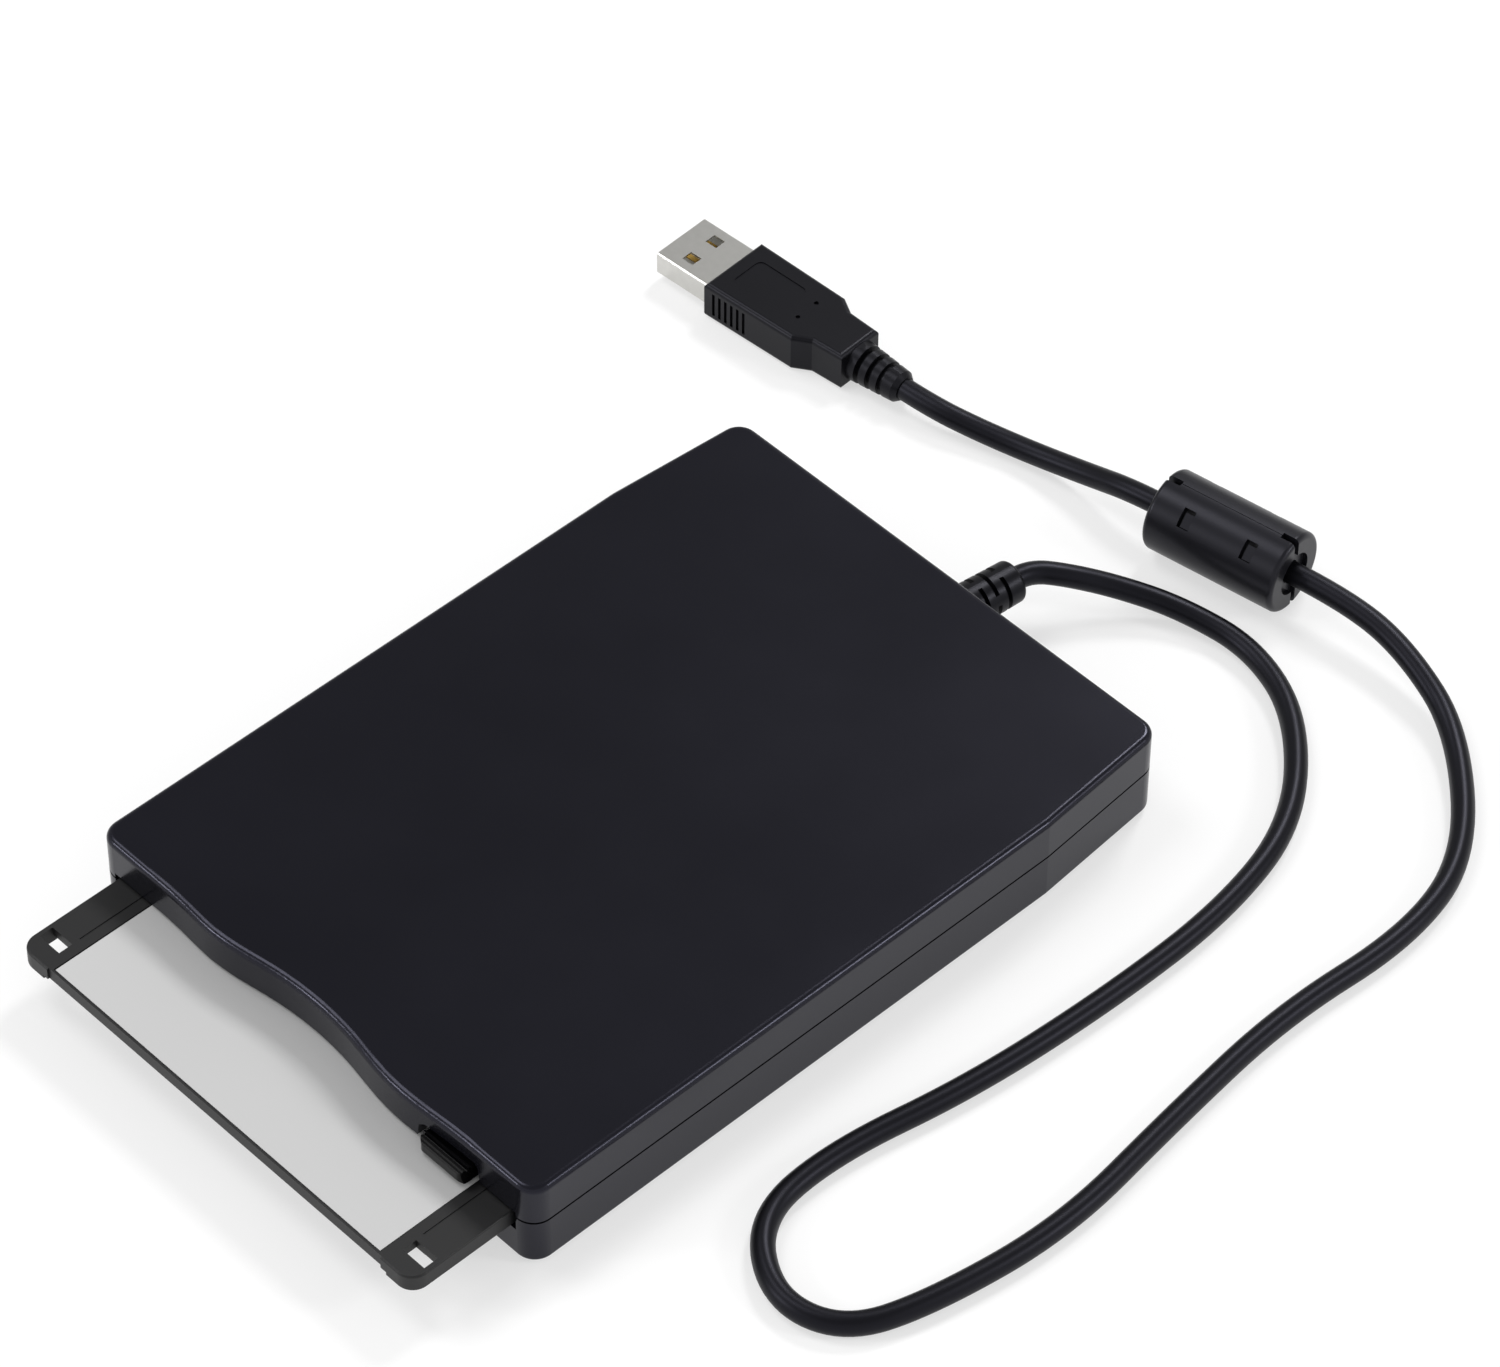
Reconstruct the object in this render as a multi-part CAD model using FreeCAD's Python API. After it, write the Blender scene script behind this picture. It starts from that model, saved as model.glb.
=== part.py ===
import FreeCAD, Part
import math, os
from FreeCAD import Vector as V

# External 3.5 inch diskette drive: slim housing with its mechanism, the diskette
# standing ejected in the slot, and the attached cord with its filter and plug.
# Millimetres. X to the right seen from the slot, Y from the slot to the back, Z up,
# feet on Z = 0. The pieces are drawn about the middle of the housing; the saved
# frame has its origin under the middle of the housing and the ejected diskette.

# ---- driving dimensions: the diskette ------------------------------------------------------------
DISK_W = 90.0
DISK_T = 3.3
RIM = 1.4            # shell beside the round chamber of the medium
SHUT_RIM = 1.9       # shell between the chamber and the shutter end
LABEL_RIM = 4.9      # shell between the chamber and the label end
DISK_OUT = 19.8      # how far the ejected diskette stands out of the housing
OVERTRAVEL = 0.5     # it goes this far in behind the front face
HOLE_IN = 3.05       # corner hole to the long side
SHUTTER_TRAVEL = 14.0
TRACK0_R = 39.5      # outermost track
HEAD_TRAVEL = 14.8   # outermost to innermost track
LABEL_IN = 7.8       # label to the long side
LABEL_L = 51.9

# ---- driving dimensions: across the drive, from the diskette outward -----------------------------
HOLD_GAP = 0.25      # diskette to the side of its holder
HOLD_T = 0.5         # holder sheet
SLIDE_GAP = 0.12     # holder to the flange of the slider
FLANGE_T = 0.38      # flange of the slider
CHASSIS_GAP = 0.1    # flange to the side of the chassis
SIDE_T = 0.7         # side of the chassis
SIDE_GAP = 0.65      # chassis to the side wall
WALL = 1.8           # side wall
TAPER_IN = 2.1       # how much each side comes in at the back end

# ---- driving dimensions: along the drive ---------------------------------------------------------
POST_T = 1.2         # posts of the guide rods
BLOCK_GAP = 0.4      # carriage block to the post at the end of its travel
BLOCK_L = 10.0       # carriage block
BEHIND = 13.0        # carriage block to the back face
TAPER_L = 26.5       # length of the tapered part at the back
FRONT_T = 3.3        # front wall behind the wave
BACK_T = 1.6         # back wall
CHASSIS_IN = 3.8     # front edge of the chassis behind the front face

# ---- driving dimensions: upward from the table ---------------------------------------------------
FOOT = 0.8           # height of the feet under the housing
FLOOR_T = 1.4        # floor of the bottom cover
BOSS_H = 0.8         # bosses that carry the chassis
SHEET = 0.8          # chassis sheet
DISK_UP = 3.25       # chassis to the underside of the ejected diskette
HOLD_RISE = 0.25     # diskette to the roof of its holder
SLIDER_UP = 0.9      # holder to the slider
SLIDER_T = 0.45      # slider sheet
SPRING_ROOM = 2.65   # slider to the shield
SHIELD_T = 0.4       # shield sheet
ROOF_GAP = 0.5       # shield to the roof
ROOF_T = 1.5         # roof of the top cover
SEAM_UP = 0.9        # parting line of the covers over the middle of the diskette
SEAM_GAP = 0.18

# ---- driving dimensions: the look of the housing -------------------------------------------------
R_CORNER = 3.5       # plan radius of the corners
R_TOP = 1.1          # rounding along the top edge
R_LOW = 0.7          # rounding along the bottom edge
WAVE_HALF = 38.0     # the front wave reaches this far to each side
WAVE_DEEP = 1.65     # depth of its hollow in the middle
SLOT_SIDE = 0.8      # room beside the diskette in the slot
SLOT_RISE = 0.7      # room over and under it together
LIP_T = 0.65         # inner lip along the seam
BTN_IN = 22.5        # button to the right side of the housing
BTN_W = 9.8
BTN_H = 3.15
BTN_OUT = 2.5        # how far the button stands out
FOOT_R = 4.5
ROTOR_R = 19.5
COILS = 12

# ---- driving dimensions: the cord ----------------------------------------------------------------
CORD_D = 3.9
BOOT_X = 2.0         # where the cord leaves the back
BOOT_Z = 9.0
BOOT_L = 12.5
BOOT_R0 = 3.95       # boot at the housing
BOOT_R1 = 3.65       # boot at its free end
BOOT_TILT = 5.6      # the boot leans to the right, pulled by the cord, degrees
FILTER_D = 14.3
FILTER_L = 25.2
FILTER_WALL = 1.3
FILTER_TURN = 9.8    # heading of the filter on the table, degrees
PLUG_W = 14.2
PLUG_T = 7.5
PLUG_TURN = 3.5      # heading of the plug on the table, degrees

# ---- planes across -------------------------------------------------------------------------------
X_DISK = DISK_W / 2
CHAMBER_R = X_DISK - RIM
X_HOLD_IN = X_DISK + HOLD_GAP
X_HOLD = X_HOLD_IN + HOLD_T
X_SLIDE_IN = X_HOLD + SLIDE_GAP
X_SLIDE = X_SLIDE_IN + FLANGE_T
X_SIDE_IN = X_SLIDE + CHASSIS_GAP
X_SIDE = X_SIDE_IN + SIDE_T
X_IN = X_SIDE + SIDE_GAP
HW = X_IN + WALL                 # half the width of the housing
HB = HW - TAPER_IN               # half its width at the back end
X_HOLE = X_DISK - HOLE_IN
X_SEAT = X_DISK - 5.0            # locating pins
X_BOSS = X_HOLD - 2.75
X_SPRING = X_HOLD - 4.25         # eject spring

# ---- planes along --------------------------------------------------------------------------------
HUB_FROM_END = CHAMBER_R + SHUT_RIM           # hub to the shutter end
DISK_L = HUB_FROM_END + CHAMBER_R + LABEL_RIM
L = OVERTRAVEL + DISK_L + 0.1 + POST_T + BLOCK_GAP + HEAD_TRAVEL + BLOCK_L + BEHIND
YF, YB = -L / 2, L / 2
Y_BEND = YB - TAPER_L
Y_IN0, Y_IN1 = YF + FRONT_T, YB - BACK_T
Y_LABEL = YF - DISK_OUT                       # label end of the ejected diskette
Y_SHUT = Y_LABEL + DISK_L                     # its shutter end
Y_HUB = Y_SHUT - HUB_FROM_END                 # its hub
Y_SPIN = Y_HUB + DISK_OUT                     # spindle axis
Y_HEAD = Y_SPIN + TRACK0_R                    # heads on the outermost track
HOME = DISK_OUT + OVERTRAVEL                  # travel from ejected to fully in
Y_HOLE = Y_LABEL + 4.9                        # corner holes
Y_SWITCH = Y_HOLE + HOME                      # switches under the corner holes
Y_CH = YF + CHASSIS_IN
Y_END = YF + OVERTRAVEL + DISK_L              # shutter end of the loaded diskette
Y_SIDE0, Y_SIDE1 = YF + 8.0, Y_END + 0.5      # sides of the chassis
Y_PINS = (YF + 20.0, Y_END - 18.5)            # pins of the holder
Y_ROD0 = Y_END + 0.1                          # guide rods
Y_BLOCK0 = Y_ROD0 + POST_T + BLOCK_GAP + HEAD_TRAVEL
Y_BLOCK1 = Y_BLOCK0 + BLOCK_L
Y_ROD1 = Y_BLOCK1 + 6.0
Y_HINGE = Y_BLOCK0 + 5.5                      # hinge of the upper arm
Y_MOTOR = Y_BLOCK0 + 6.5                      # front of the stepper

# ---- planes upward -------------------------------------------------------------------------------
Z_IN = FOOT + FLOOR_T
Z_CH0 = Z_IN + BOSS_H
Z_CH1 = Z_CH0 + SHEET
Z_D0 = Z_CH1 + DISK_UP
Z_D1 = Z_D0 + DISK_T
MID = (Z_D0 + Z_D1) / 2
SEAM = MID + SEAM_UP
Z_H0 = Z_D1 + HOLD_RISE
Z_H1 = Z_H0 + HOLD_T
Z_S0 = Z_H1 + SLIDER_UP
Z_S1 = Z_S0 + SLIDER_T
Z_SH0 = Z_S1 + SPRING_ROOM
Z_SH1 = Z_SH0 + SHIELD_T
Z_ROOF = Z_SH1 + ROOF_GAP
H = Z_ROOF + ROOF_T                           # overall height, feet included
Z_SLOT0 = MID + 0.05 - (DISK_T + SLOT_RISE) / 2
Z_SLOT1 = MID + 0.05 + (DISK_T + SLOT_RISE) / 2
Z_PIN = Z_D0 + 1.95                           # pins of the holder, raised
Z_BOARD = Z_CH1 + 0.7                         # top of the drive board
Z_USB0 = Z_IN + 1.2
Z_USB = Z_USB0 + 1.2                          # top of the USB board
Z_ROD = Z_CH1 + 2.7
Z_SCREW = Z_CH1 + 4.8
Z_HINGE = Z_H0 + 1.0
Z_BTN0 = Z_SLOT1 + 0.05
Z_BTN1 = Z_BTN0 + BTN_H

# ---- places shared by several pieces -------------------------------------------------------------
ROD_L = (-9.0, 1.2)                           # X and radius of the left guide rod
ROD_R = (9.0, 1.0)
X_SCREW = 17.0
SCREW_R = 1.5
LED = (-(HW - 11.5), Z_IN + 2.2)
BTN_X0 = HW - BTN_IN
BTN_X1 = BTN_X0 + BTN_W
FEET = [(-(HW - 11.5), YF + 13.0), (HW - 11.5, YF + 13.0), (-(HB - 11.4), YB - 13.0), (HB - 11.4, YB - 13.0)]
BACK_SCREWS = [(-(HB - 6.4), YB - 7.0), (HB - 6.4, YB - 7.0)]
BOSSES = [(-X_BOSS, YF + 37.0), (X_BOSS, YF + 37.0), (-X_BOSS, Y_END - 7.5), (X_BOSS, Y_END - 7.5)]
BOARD_X0 = -(X_SIDE_IN - 0.55)                # drive board, left and right edge
BOARD_X1 = BOARD_X0 + 18.3
USB_X0, USB_X1 = -(HB - 3.1), -15.5
USB_POSTS = [(USB_X0 + 2.8, YB - 31.0), (USB_X1 - 3.0, YB - 31.0), (USB_X1 - 3.0, YB - 6.0)]
RIBBON = (BOARD_X0 + 12.9, 4.5)               # middle and half width of the flat cable
LEVER = (30.0, Y_END - 13.5)                  # pivot of the trigger lever
Y_SEAT0, Y_SEAT1 = Y_SPIN - 31.0, Y_END - 8.0 # locating pins, front and back
Y_WINDOW = Y_HEAD - HEAD_TRAVEL - 5.7         # front of the heads' window in the holder
BOOT_HOLE_R = 3.3

os.makedirs("parts", exist_ok=True)
NODES = {}


def save(name, shape):
    solids = shape.translated(V(0, DISK_OUT / 2, 0)).Solids
    out = solids[0] if len(solids) == 1 else Part.makeCompound(solids)
    out.exportStep("parts/%s.step" % name)
    NODES[name] = out
    print("%-22s solids %2d volume %9.2f valid %s" % (name, len(solids), out.Volume, out.isValid()))


def box(x0, x1, y0, y1, z0, z1):
    return Part.makeBox(x1 - x0, y1 - y0, z1 - z0, V(x0, y0, z0))


def cyl(x, y, z0, z1, r):
    return Part.makeCylinder(r, z1 - z0, V(x, y, z0), V(0, 0, 1))


def cyl_y(x, z, y0, y1, r):
    return Part.makeCylinder(r, y1 - y0, V(x, y0, z), V(0, 1, 0))


def cyl_x(y, z, x0, x1, r):
    return Part.makeCylinder(r, x1 - x0, V(x0, y, z), V(1, 0, 0))


def cone(x, y, z0, z1, r0, r1):
    return Part.makeCone(r0, r1, z1 - z0, V(x, y, z0), V(0, 0, 1))


def fuse(*shapes):
    return shapes[0].fuse(list(shapes[1:])).removeSplitter()


def cut(shape, *tools):
    return shape.cut(list(tools))


def group(*shapes):
    return Part.makeCompound(list(shapes))


def extrude(points, move):
    return Part.Face(Part.makePolygon(points + [points[0]])).extrude(move)


def prism(points, z0, z1):
    return extrude([V(x, y, z0) for x, y in points], V(0, 0, z1 - z0))


def prism_x(points, x0, x1):
    """Prism along X over points given as (y, z)."""
    return extrude([V(x0, y, z) for y, z in points], V(x1 - x0, 0, 0))


def prism_y(points, y0, y1):
    """Prism along Y over points given as (x, z)."""
    return extrude([V(x, y0, z) for x, z in points], V(0, y1 - y0, 0))


def upright(e):
    a, b = e.Vertexes[0].Point, e.Vertexes[-1].Point
    return abs(a.x - b.x) < 1e-6 and abs(a.y - b.y) < 1e-6 and abs(a.z - b.z) > 1e-6


def along_x(e):
    return e.BoundBox.YLength < 1e-6 and e.BoundBox.ZLength < 1e-6


def edges_at_z(shape, z):
    return [e for e in shape.Edges if abs(e.BoundBox.ZMin - z) < 1e-4 and abs(e.BoundBox.ZMax - z) < 1e-4]


def round_box(x0, x1, y0, y1, z0, z1, r):
    b = box(x0, x1, y0, y1, z0, z1)
    return b.makeFillet(r, [e for e in b.Edges if upright(e)])


def side_box(side, x0, x1, y0, y1, z0, z1):
    """Box between the distances x0 and x1 from the middle plane, on one side of it."""
    return box(x0, x1, y0, y1, z0, z1) if side > 0 else box(-x1, -x0, y0, y1, z0, z1)


def side_boss(side, x0, x1, y, z, r):
    """Round boss along X between two distances from the middle plane, on one side of it."""
    return cyl_x(y, z, x0, x1, r) if side > 0 else cyl_x(y, z, -x1, -x0, r)


# ---- plan outline of the housing -----------------------------------------------------------------
# The front edge runs in a shallow wave: a thumb hollow in the middle with a low
# swell on either side of it. Points are shares of its half width and of its depth.
WAVE = [(-1.0, 0.0), (-0.79, -0.09), (-0.58, -0.36), (-0.434, -0.06), (-0.263, 0.594), (-0.026, 1.0),
        (0.21, 0.618), (0.382, -0.06), (0.553, -0.394), (0.79, -0.133), (1.0, 0.0)]


def wave_edge(z, y0):
    curve = Part.BSplineCurve()
    points = [V(u * WAVE_HALF, y0 + v * WAVE_DEEP, z) for u, v in WAVE]
    curve.interpolate(Points=points, InitialTangent=V(1, 0, 0), FinalTangent=V(1, 0, 0))
    return curve.toShape()


def outline(z):
    """Closed wire of the housing outline at a height."""
    r = R_CORNER
    short = r * math.sqrt(0.5)
    # the back corners are tangent arcs between the tapered side and the back face
    lean = math.atan2(TAPER_IN, TAPER_L)
    cy = YB - r
    cx = HB + r * math.tan(lean) - r / math.cos(lean)
    half = (lean + math.pi / 2) / 2
    side = (cx + r * math.cos(lean), cy + r * math.sin(lean))
    knee = (cx + r * math.cos(half), cy + r * math.sin(half))
    right = [("line", (WAVE_HALF, YF), (HW - r, YF)),
             ("arc", (HW - r, YF), (HW - r + short, YF + r - short), (HW, YF + r)),
             ("line", (HW, YF + r), (HW, Y_BEND)),
             ("line", (HW, Y_BEND), side),
             ("arc", side, knee, (cx, YB))]
    edges = [wave_edge(z, YF), Part.makeLine(V(-cx, YB, z), V(cx, YB, z))]
    for sign in (1, -1):
        for kind, *points in right:
            at = [V(sign * x, y, z) for x, y in points]
            edges.append(Part.makeLine(*at) if kind == "line" else Part.Arc(*at).toShape())
    return Part.Wire(Part.__sortEdges__(edges))


def slab(z0, z1):
    return Part.Face(outline(z0)).extrude(V(0, 0, z1 - z0))


def cavity(z0, z1):
    """Inner space: plain front face behind the wave, tapered sides."""
    hb = HB - WALL
    right = [(X_IN, Y_IN0), (X_IN, Y_BEND), (hb, Y_IN1)]
    return prism(right + [(-x, y) for x, y in reversed(right)], z0, z1)


def seam_lips(room, z0, z1):
    """Lips in the walls along the seam or, with some room, the grooves that take them."""
    near, far = 0.05 - room / 2, 0.05 + LIP_T + room / 3
    lips = [side_box(s, X_IN + near, X_IN + far, YF + 12.0 - room, Y_BEND - 4.5 + room, z0, z1)
            for s in (1, -1)]
    for x0, x1 in ((-(HB - 11.4), -6.0), (10.0, HB - 11.4)):
        lips.append(box(x0 - room, x1 + room, Y_IN1 + near, Y_IN1 + far, z0, z1))
    return lips


def boot_hole():
    return cyl_y(BOOT_X, BOOT_Z, YB - 3.0, YB + 1.0, BOOT_HOLE_R)


def slot(z0, z1):
    half = X_DISK + SLOT_SIDE
    return box(-half, half, YF - 2.0, YF + 5.0, z0, z1)


# ---- bottom cover --------------------------------------------------------------------------------
bottom = slab(FOOT, SEAM)
bottom = bottom.makeFillet(R_LOW, edges_at_z(bottom, FOOT))
bottom = cut(bottom, cavity(Z_IN, SEAM + 1.0), slot(Z_SLOT0, SEAM + 1.0))
bottom = fuse(bottom, *seam_lips(0.0, SEAM - 0.4, SEAM + 0.95))
# bosses under the mechanism, posts for the back screws, posts under the USB board
for x, y in BOSSES:
    bottom = fuse(bottom, cyl(x, y, Z_IN - 0.2, Z_CH0, 2.6))
    bottom = cut(bottom, cyl(x, y, Z_IN - 0.7, Z_CH0 + 0.1, 0.8))
for x, y in BACK_SCREWS:
    bottom = fuse(bottom, cyl(x, y, Z_IN - 0.2, SEAM - 1.6, 3.0))
    bottom = cut(bottom, cyl(x, y, FOOT - 0.1, SEAM, 1.35), cone(x, y, FOOT - 0.01, FOOT + 1.2, 2.55, 1.35))
for x, y in USB_POSTS:
    bottom = fuse(bottom, cyl(x, y, Z_IN - 0.2, Z_USB0, 2.2))
    bottom = cut(bottom, cyl(x, y, Z_IN - 0.2, Z_USB0 + 0.1, 0.8))
for x, y in FEET:
    bottom = cut(bottom, cyl(x, y, FOOT - 0.1, FOOT + 0.4, FOOT_R))
# opening of the cord boot at the back, light opening in the front
bottom = cut(bottom, boot_hole(), cyl_y(LED[0], LED[1], YF - 2.0, YF + 4.0, 1.05))
save("bottom_cover", bottom)

# ---- top cover -----------------------------------------------------------------------------------
top = slab(SEAM + SEAM_GAP, H)
top = top.makeFillet(R_TOP, edges_at_z(top, H))
top = cut(top, cavity(SEAM - 1.0, Z_ROOF), slot(SEAM - 1.0, Z_SLOT1), boot_hole())
top = cut(top, *seam_lips(0.3, SEAM - 1.0, SEAM + 1.1))
# pocket of the eject button: open to the slot below, corners cut at the top
pocket = [(BTN_X0 - 2.3, Z_SLOT1 - 0.75), (BTN_X1 + 1.2, Z_SLOT1 - 0.75), (BTN_X1 + 0.8, Z_BTN1 - 0.55),
          (BTN_X1 + 0.2, Z_BTN1 + 0.35), (BTN_X0 - 0.6, Z_BTN1 + 0.35), (BTN_X0 - 1.8, Z_BTN1 - 0.55)]
top = cut(top, prism_y(pocket, YF - 2.0, YF + 5.0))
for x, y in BACK_SCREWS:
    top = fuse(top, cyl(x, y, SEAM - 1.6, Z_ROOF + 0.2, 3.0))
    top = cut(top, cyl(x, y, SEAM - 1.7, Z_ROOF - 1.5, 1.0))
# tabs behind the front wall and ribs under the roof
for x in (-30.0, 0.0, 16.0):
    tab = box(x - 2.8, x + 2.8, Y_IN0 + 0.02, Y_IN0 + 1.1, Z_SLOT1 + 0.2, Z_ROOF + 0.2)
    top = fuse(top, tab)
for x in (-30.0, 30.0):
    top = fuse(top, box(x - 0.5, x + 0.5, YB - 25.0, YB - 7.0, Z_ROOF - 1.2, Z_ROOF + 0.1))
save("top_cover", top)

# ---- feet, screws, light -------------------------------------------------------------------------
feet = []
for x, y in FEET:
    feet.append(fuse(cone(x, y, 0.0, 0.3, FOOT_R - 0.3, FOOT_R), cyl(x, y, 0.3, FOOT + 0.4, FOOT_R)))
save("rubber_feet", group(*feet))


def cross(x, y, z0, z1, r):
    """Cross recess of a screw head."""
    return fuse(box(x - r, x + r, y - 0.2, y + 0.2, z0, z1), box(x - 0.2, x + 0.2, y - r, y + r, z0, z1))


def sunk_screw(x, y, z_head, z_tip):
    """Countersunk screw driven upward, its head below."""
    body = fuse(cone(x, y, z_head, z_head + 1.15, 2.2, 1.0), cyl(x, y, z_head + 1.15, z_tip, 1.0))
    return cut(body, cross(x, y, z_head - 0.1, z_head + 0.45, 1.2))


def pan_screw(x, y, z_seat, z_tip):
    """Pan-head screw driven downward, its head on z_seat."""
    body = fuse(cyl(x, y, z_seat, z_seat + 0.7, 1.65), cyl(x, y, z_tip, z_seat, 0.8))
    return cut(body, cross(x, y, z_seat + 0.35, z_seat + 0.8, 1.0))


screws = [sunk_screw(x, y, FOOT + 0.05, Z_ROOF - 2.5) for x, y in BACK_SCREWS]
screws += [pan_screw(x, y, Z_CH1, Z_IN - 0.5) for x, y in BOSSES]
screws += [pan_screw(x, y, Z_USB, Z_IN) for x, y in USB_POSTS]
save("screws", group(*screws))

lens = cyl_y(LED[0], LED[1], YF + 0.05, Y_IN0, 1.0)
lamp = box(LED[0] - 1.2, LED[0] + 1.2, Y_IN0, Y_IN0 + 2.0, LED[1] - 1.1, LED[1] + 1.1)
save("activity_light", fuse(lens, lamp))

# ---- chassis of the mechanism --------------------------------------------------------------------
Y_NECK = Y_END + 3.0                          # the tray is narrower behind this line
tray = [(-X_SIDE, Y_CH), (X_SIDE, Y_CH), (X_SIDE, Y_NECK), (HB - 3.4, Y_NECK), (HB - 3.4, YB - 15.0),
        (HB - 13.4, YB - 5.0), (-13.5, YB - 5.0), (-13.5, Y_NECK), (-X_SIDE, Y_NECK)]
chassis = prism(tray, Z_CH0, Z_CH1)
for s in (1, -1):
    wall = side_box(s, X_SIDE_IN, X_SIDE, Y_SIDE0, Y_SIDE1, Z_CH0, Z_S0 + 0.6)
    near, far = X_SIDE_IN - 1.0, X_SIDE + 1.0
    for y in Y_PINS:   # upright slots of the holder pins
        wall = cut(wall, side_box(s, near, far, y - 1.0, y + 1.0, Z_PIN - 3.0, Z_PIN + 1.2))
    gap = side_box(s, near, far, YF + 31.0, YF + 63.0, Z_CH1 + 1.2, Z_D1 + 0.05)
    wall = cut(wall, gap.makeFillet(1.5, [e for e in gap.Edges if along_x(e)]))
    chassis = fuse(chassis, wall)
holes = [cyl(0, Y_SPIN, Z_CH0 - 1.0, Z_CH1 + 1.0, ROTOR_R + 1.5)]
for x, y, r in ((-30.0, YF + 23.0, 4.0), (30.0, YF + 23.0, 4.0), (30.0, Y_END - 9.5, 5.0),
                (33.0, YF + 47.0, 5.5), (31.0, Y_END + 14.5, 5.0)):
    holes.append(cyl(x, y, Z_CH0 - 1.0, Z_CH1 + 1.0, r))
holes.append(round_box(-6.0, 6.0, Y_END + 1.5, Y_END + 14.5, Z_CH0 - 1.0, Z_CH1 + 1.0, 1.5))
holes.append(box(LED[0] - 1.8, LED[0] + 1.8, Y_CH - 1.0, Y_CH + 2.2, Z_CH0 - 1.0, Z_CH1 + 1.0))
for x, y in BOSSES:
    holes.append(cyl(x, y, Z_CH0 - 1.0, Z_CH1 + 1.0, 0.95))
chassis = cut(chassis, *holes)
# posts that carry the two guide rods
for x, r in (ROD_L, ROD_R):
    for y in (Y_ROD0, Y_ROD1 - POST_T):
        post = box(x - 2.1, x + 2.1, y, y + POST_T, Z_CH1, Z_ROD + 1.7)
        chassis = fuse(chassis, cut(post, cyl_y(x, Z_ROD, y - 1.0, y + POST_T + 1.0, r)))
save("drive_chassis", chassis)

shield = box(-X_SIDE, X_SIDE, Y_SIDE0, Y_END + 12.5, Z_SH0, Z_SH1)
for s in (1, -1):
    shield = fuse(shield, side_box(s, X_SIDE_IN, X_SIDE, Y_SIDE0, Y_SIDE1, Z_S0 + 0.6, Z_SH1))
for x, y, half_x, half_y in ((22.0, YF + 37.0, 12.0, 10.0), (28.0, YF + 75.0, 7.0, 11.0)):
    for s in (1, -1):
        shield = cut(shield, round_box(s * x - half_x, s * x + half_x, y - half_y, y + half_y,
                                       Z_SH1 - 0.15, Z_SH1 + 0.1, 3.0))
for x in (-38.0, 38.0):
    for y in (YF + 17.0, Y_END - 5.5):
        shield = cut(shield, cyl(x, y, Z_SH0 - 0.1, Z_SH1 + 0.5, 1.2))
# lug that holds the front end of the eject spring
shield = fuse(shield, box(X_SPRING - 0.9, X_SPRING + 0.9, YF + 11.0, YF + 11.6, Z_S1 + 0.25, Z_SH0 + 0.1))
save("drive_shield", shield)

# ---- disk holder, raised -------------------------------------------------------------------------
Y_HOLD0, Y_HOLD1 = YF + 7.5, Y_END - 1.0
Z_LIP = Z_D0 - 0.7                            # underside of the lips that carry the diskette
holder = box(-X_HOLD, X_HOLD, Y_HOLD0, Y_HOLD1, Z_H0, Z_H1)
for s in (1, -1):
    holder = fuse(holder, side_box(s, X_HOLD_IN, X_HOLD, Y_HOLD0, Y_HOLD1, Z_LIP, Z_H1))
    for y0, y1 in ((Y_HOLD0, YF + 33.0), (YF + 59.0, Y_HOLD1)):
        holder = fuse(holder, side_box(s, X_HOLD - 4.15, X_HOLD, y0, y1, Z_LIP, Z_LIP + HOLD_T))
    gap = side_box(s, X_HOLD_IN - 1.0, X_HOLD + 1.0, YF + 33.0, YF + 59.0, Z_LIP - 0.3, Z_D0 + 1.15)
    holder = cut(holder, gap, cyl(s * X_SEAT, Y_SEAT0, Z_LIP - 0.3, Z_LIP + 0.6, 2.2))
holder = cut(holder, box(-9.5, 8.0, Y_WINDOW, Y_HOLD1 + 0.5, Z_H0 - 0.5, Z_H1 + 1.0),
             round_box(-30.0, -14.0, YF + 47.0, YF + 75.0, Z_H0 - 0.5, Z_H1 + 1.0, 3.0),
             round_box(14.0, 24.0, YF + 47.0, YF + 63.0, Z_H0 - 0.5, Z_H1 + 1.0, 3.0),
             round_box(-20.0, 20.0, YF + 19.0, YF + 37.0, Z_H0 - 0.5, Z_H1 + 1.0, 4.0))
holder = fuse(holder, box(8.0, 8.6, Y_WINDOW + 3.5, Y_HOLD1, Z_H0, Z_H1 + 0.8))
save("disk_holder", holder)

pins = [fuse(cyl(*LEVER, Z_H1, Z_H1 + 0.65, 0.9), cyl(*LEVER, Z_H1 + 0.65, Z_H1 + 0.85, 1.6))]
for y in Y_PINS:
    pins.append(cyl_x(y, Z_PIN, X_HOLD, X_SIDE - 0.1, 0.85))
    pins.append(cyl_x(y, Z_PIN, -(X_SIDE - 0.1), -X_HOLD, 0.85))
save("holder_pins", group(*pins))

lx, ly = LEVER
lever = fuse(cyl(lx, ly, Z_H1 + 0.05, Z_H1 + 0.6, 2.6),
             prism([(lx - 1.8, ly - 1.6), (lx + 1.5, ly - 2.0), (lx + 8.5, ly + 11.0), (lx + 6.0, ly + 12.3)],
                   Z_H1 + 0.05, Z_H1 + 0.6),
             prism([(lx - 2.0, ly - 1.0), (lx - 0.4, ly + 2.4), (lx - 15.4, ly + 8.8), (lx - 17.6, ly + 6.6)],
                   Z_H1 + 0.05, Z_H1 + 0.6))
save("trigger_lever", cut(lever, cyl(lx, ly, Z_H1 - 0.1, Z_H1 + 0.9, 0.9)))

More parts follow.
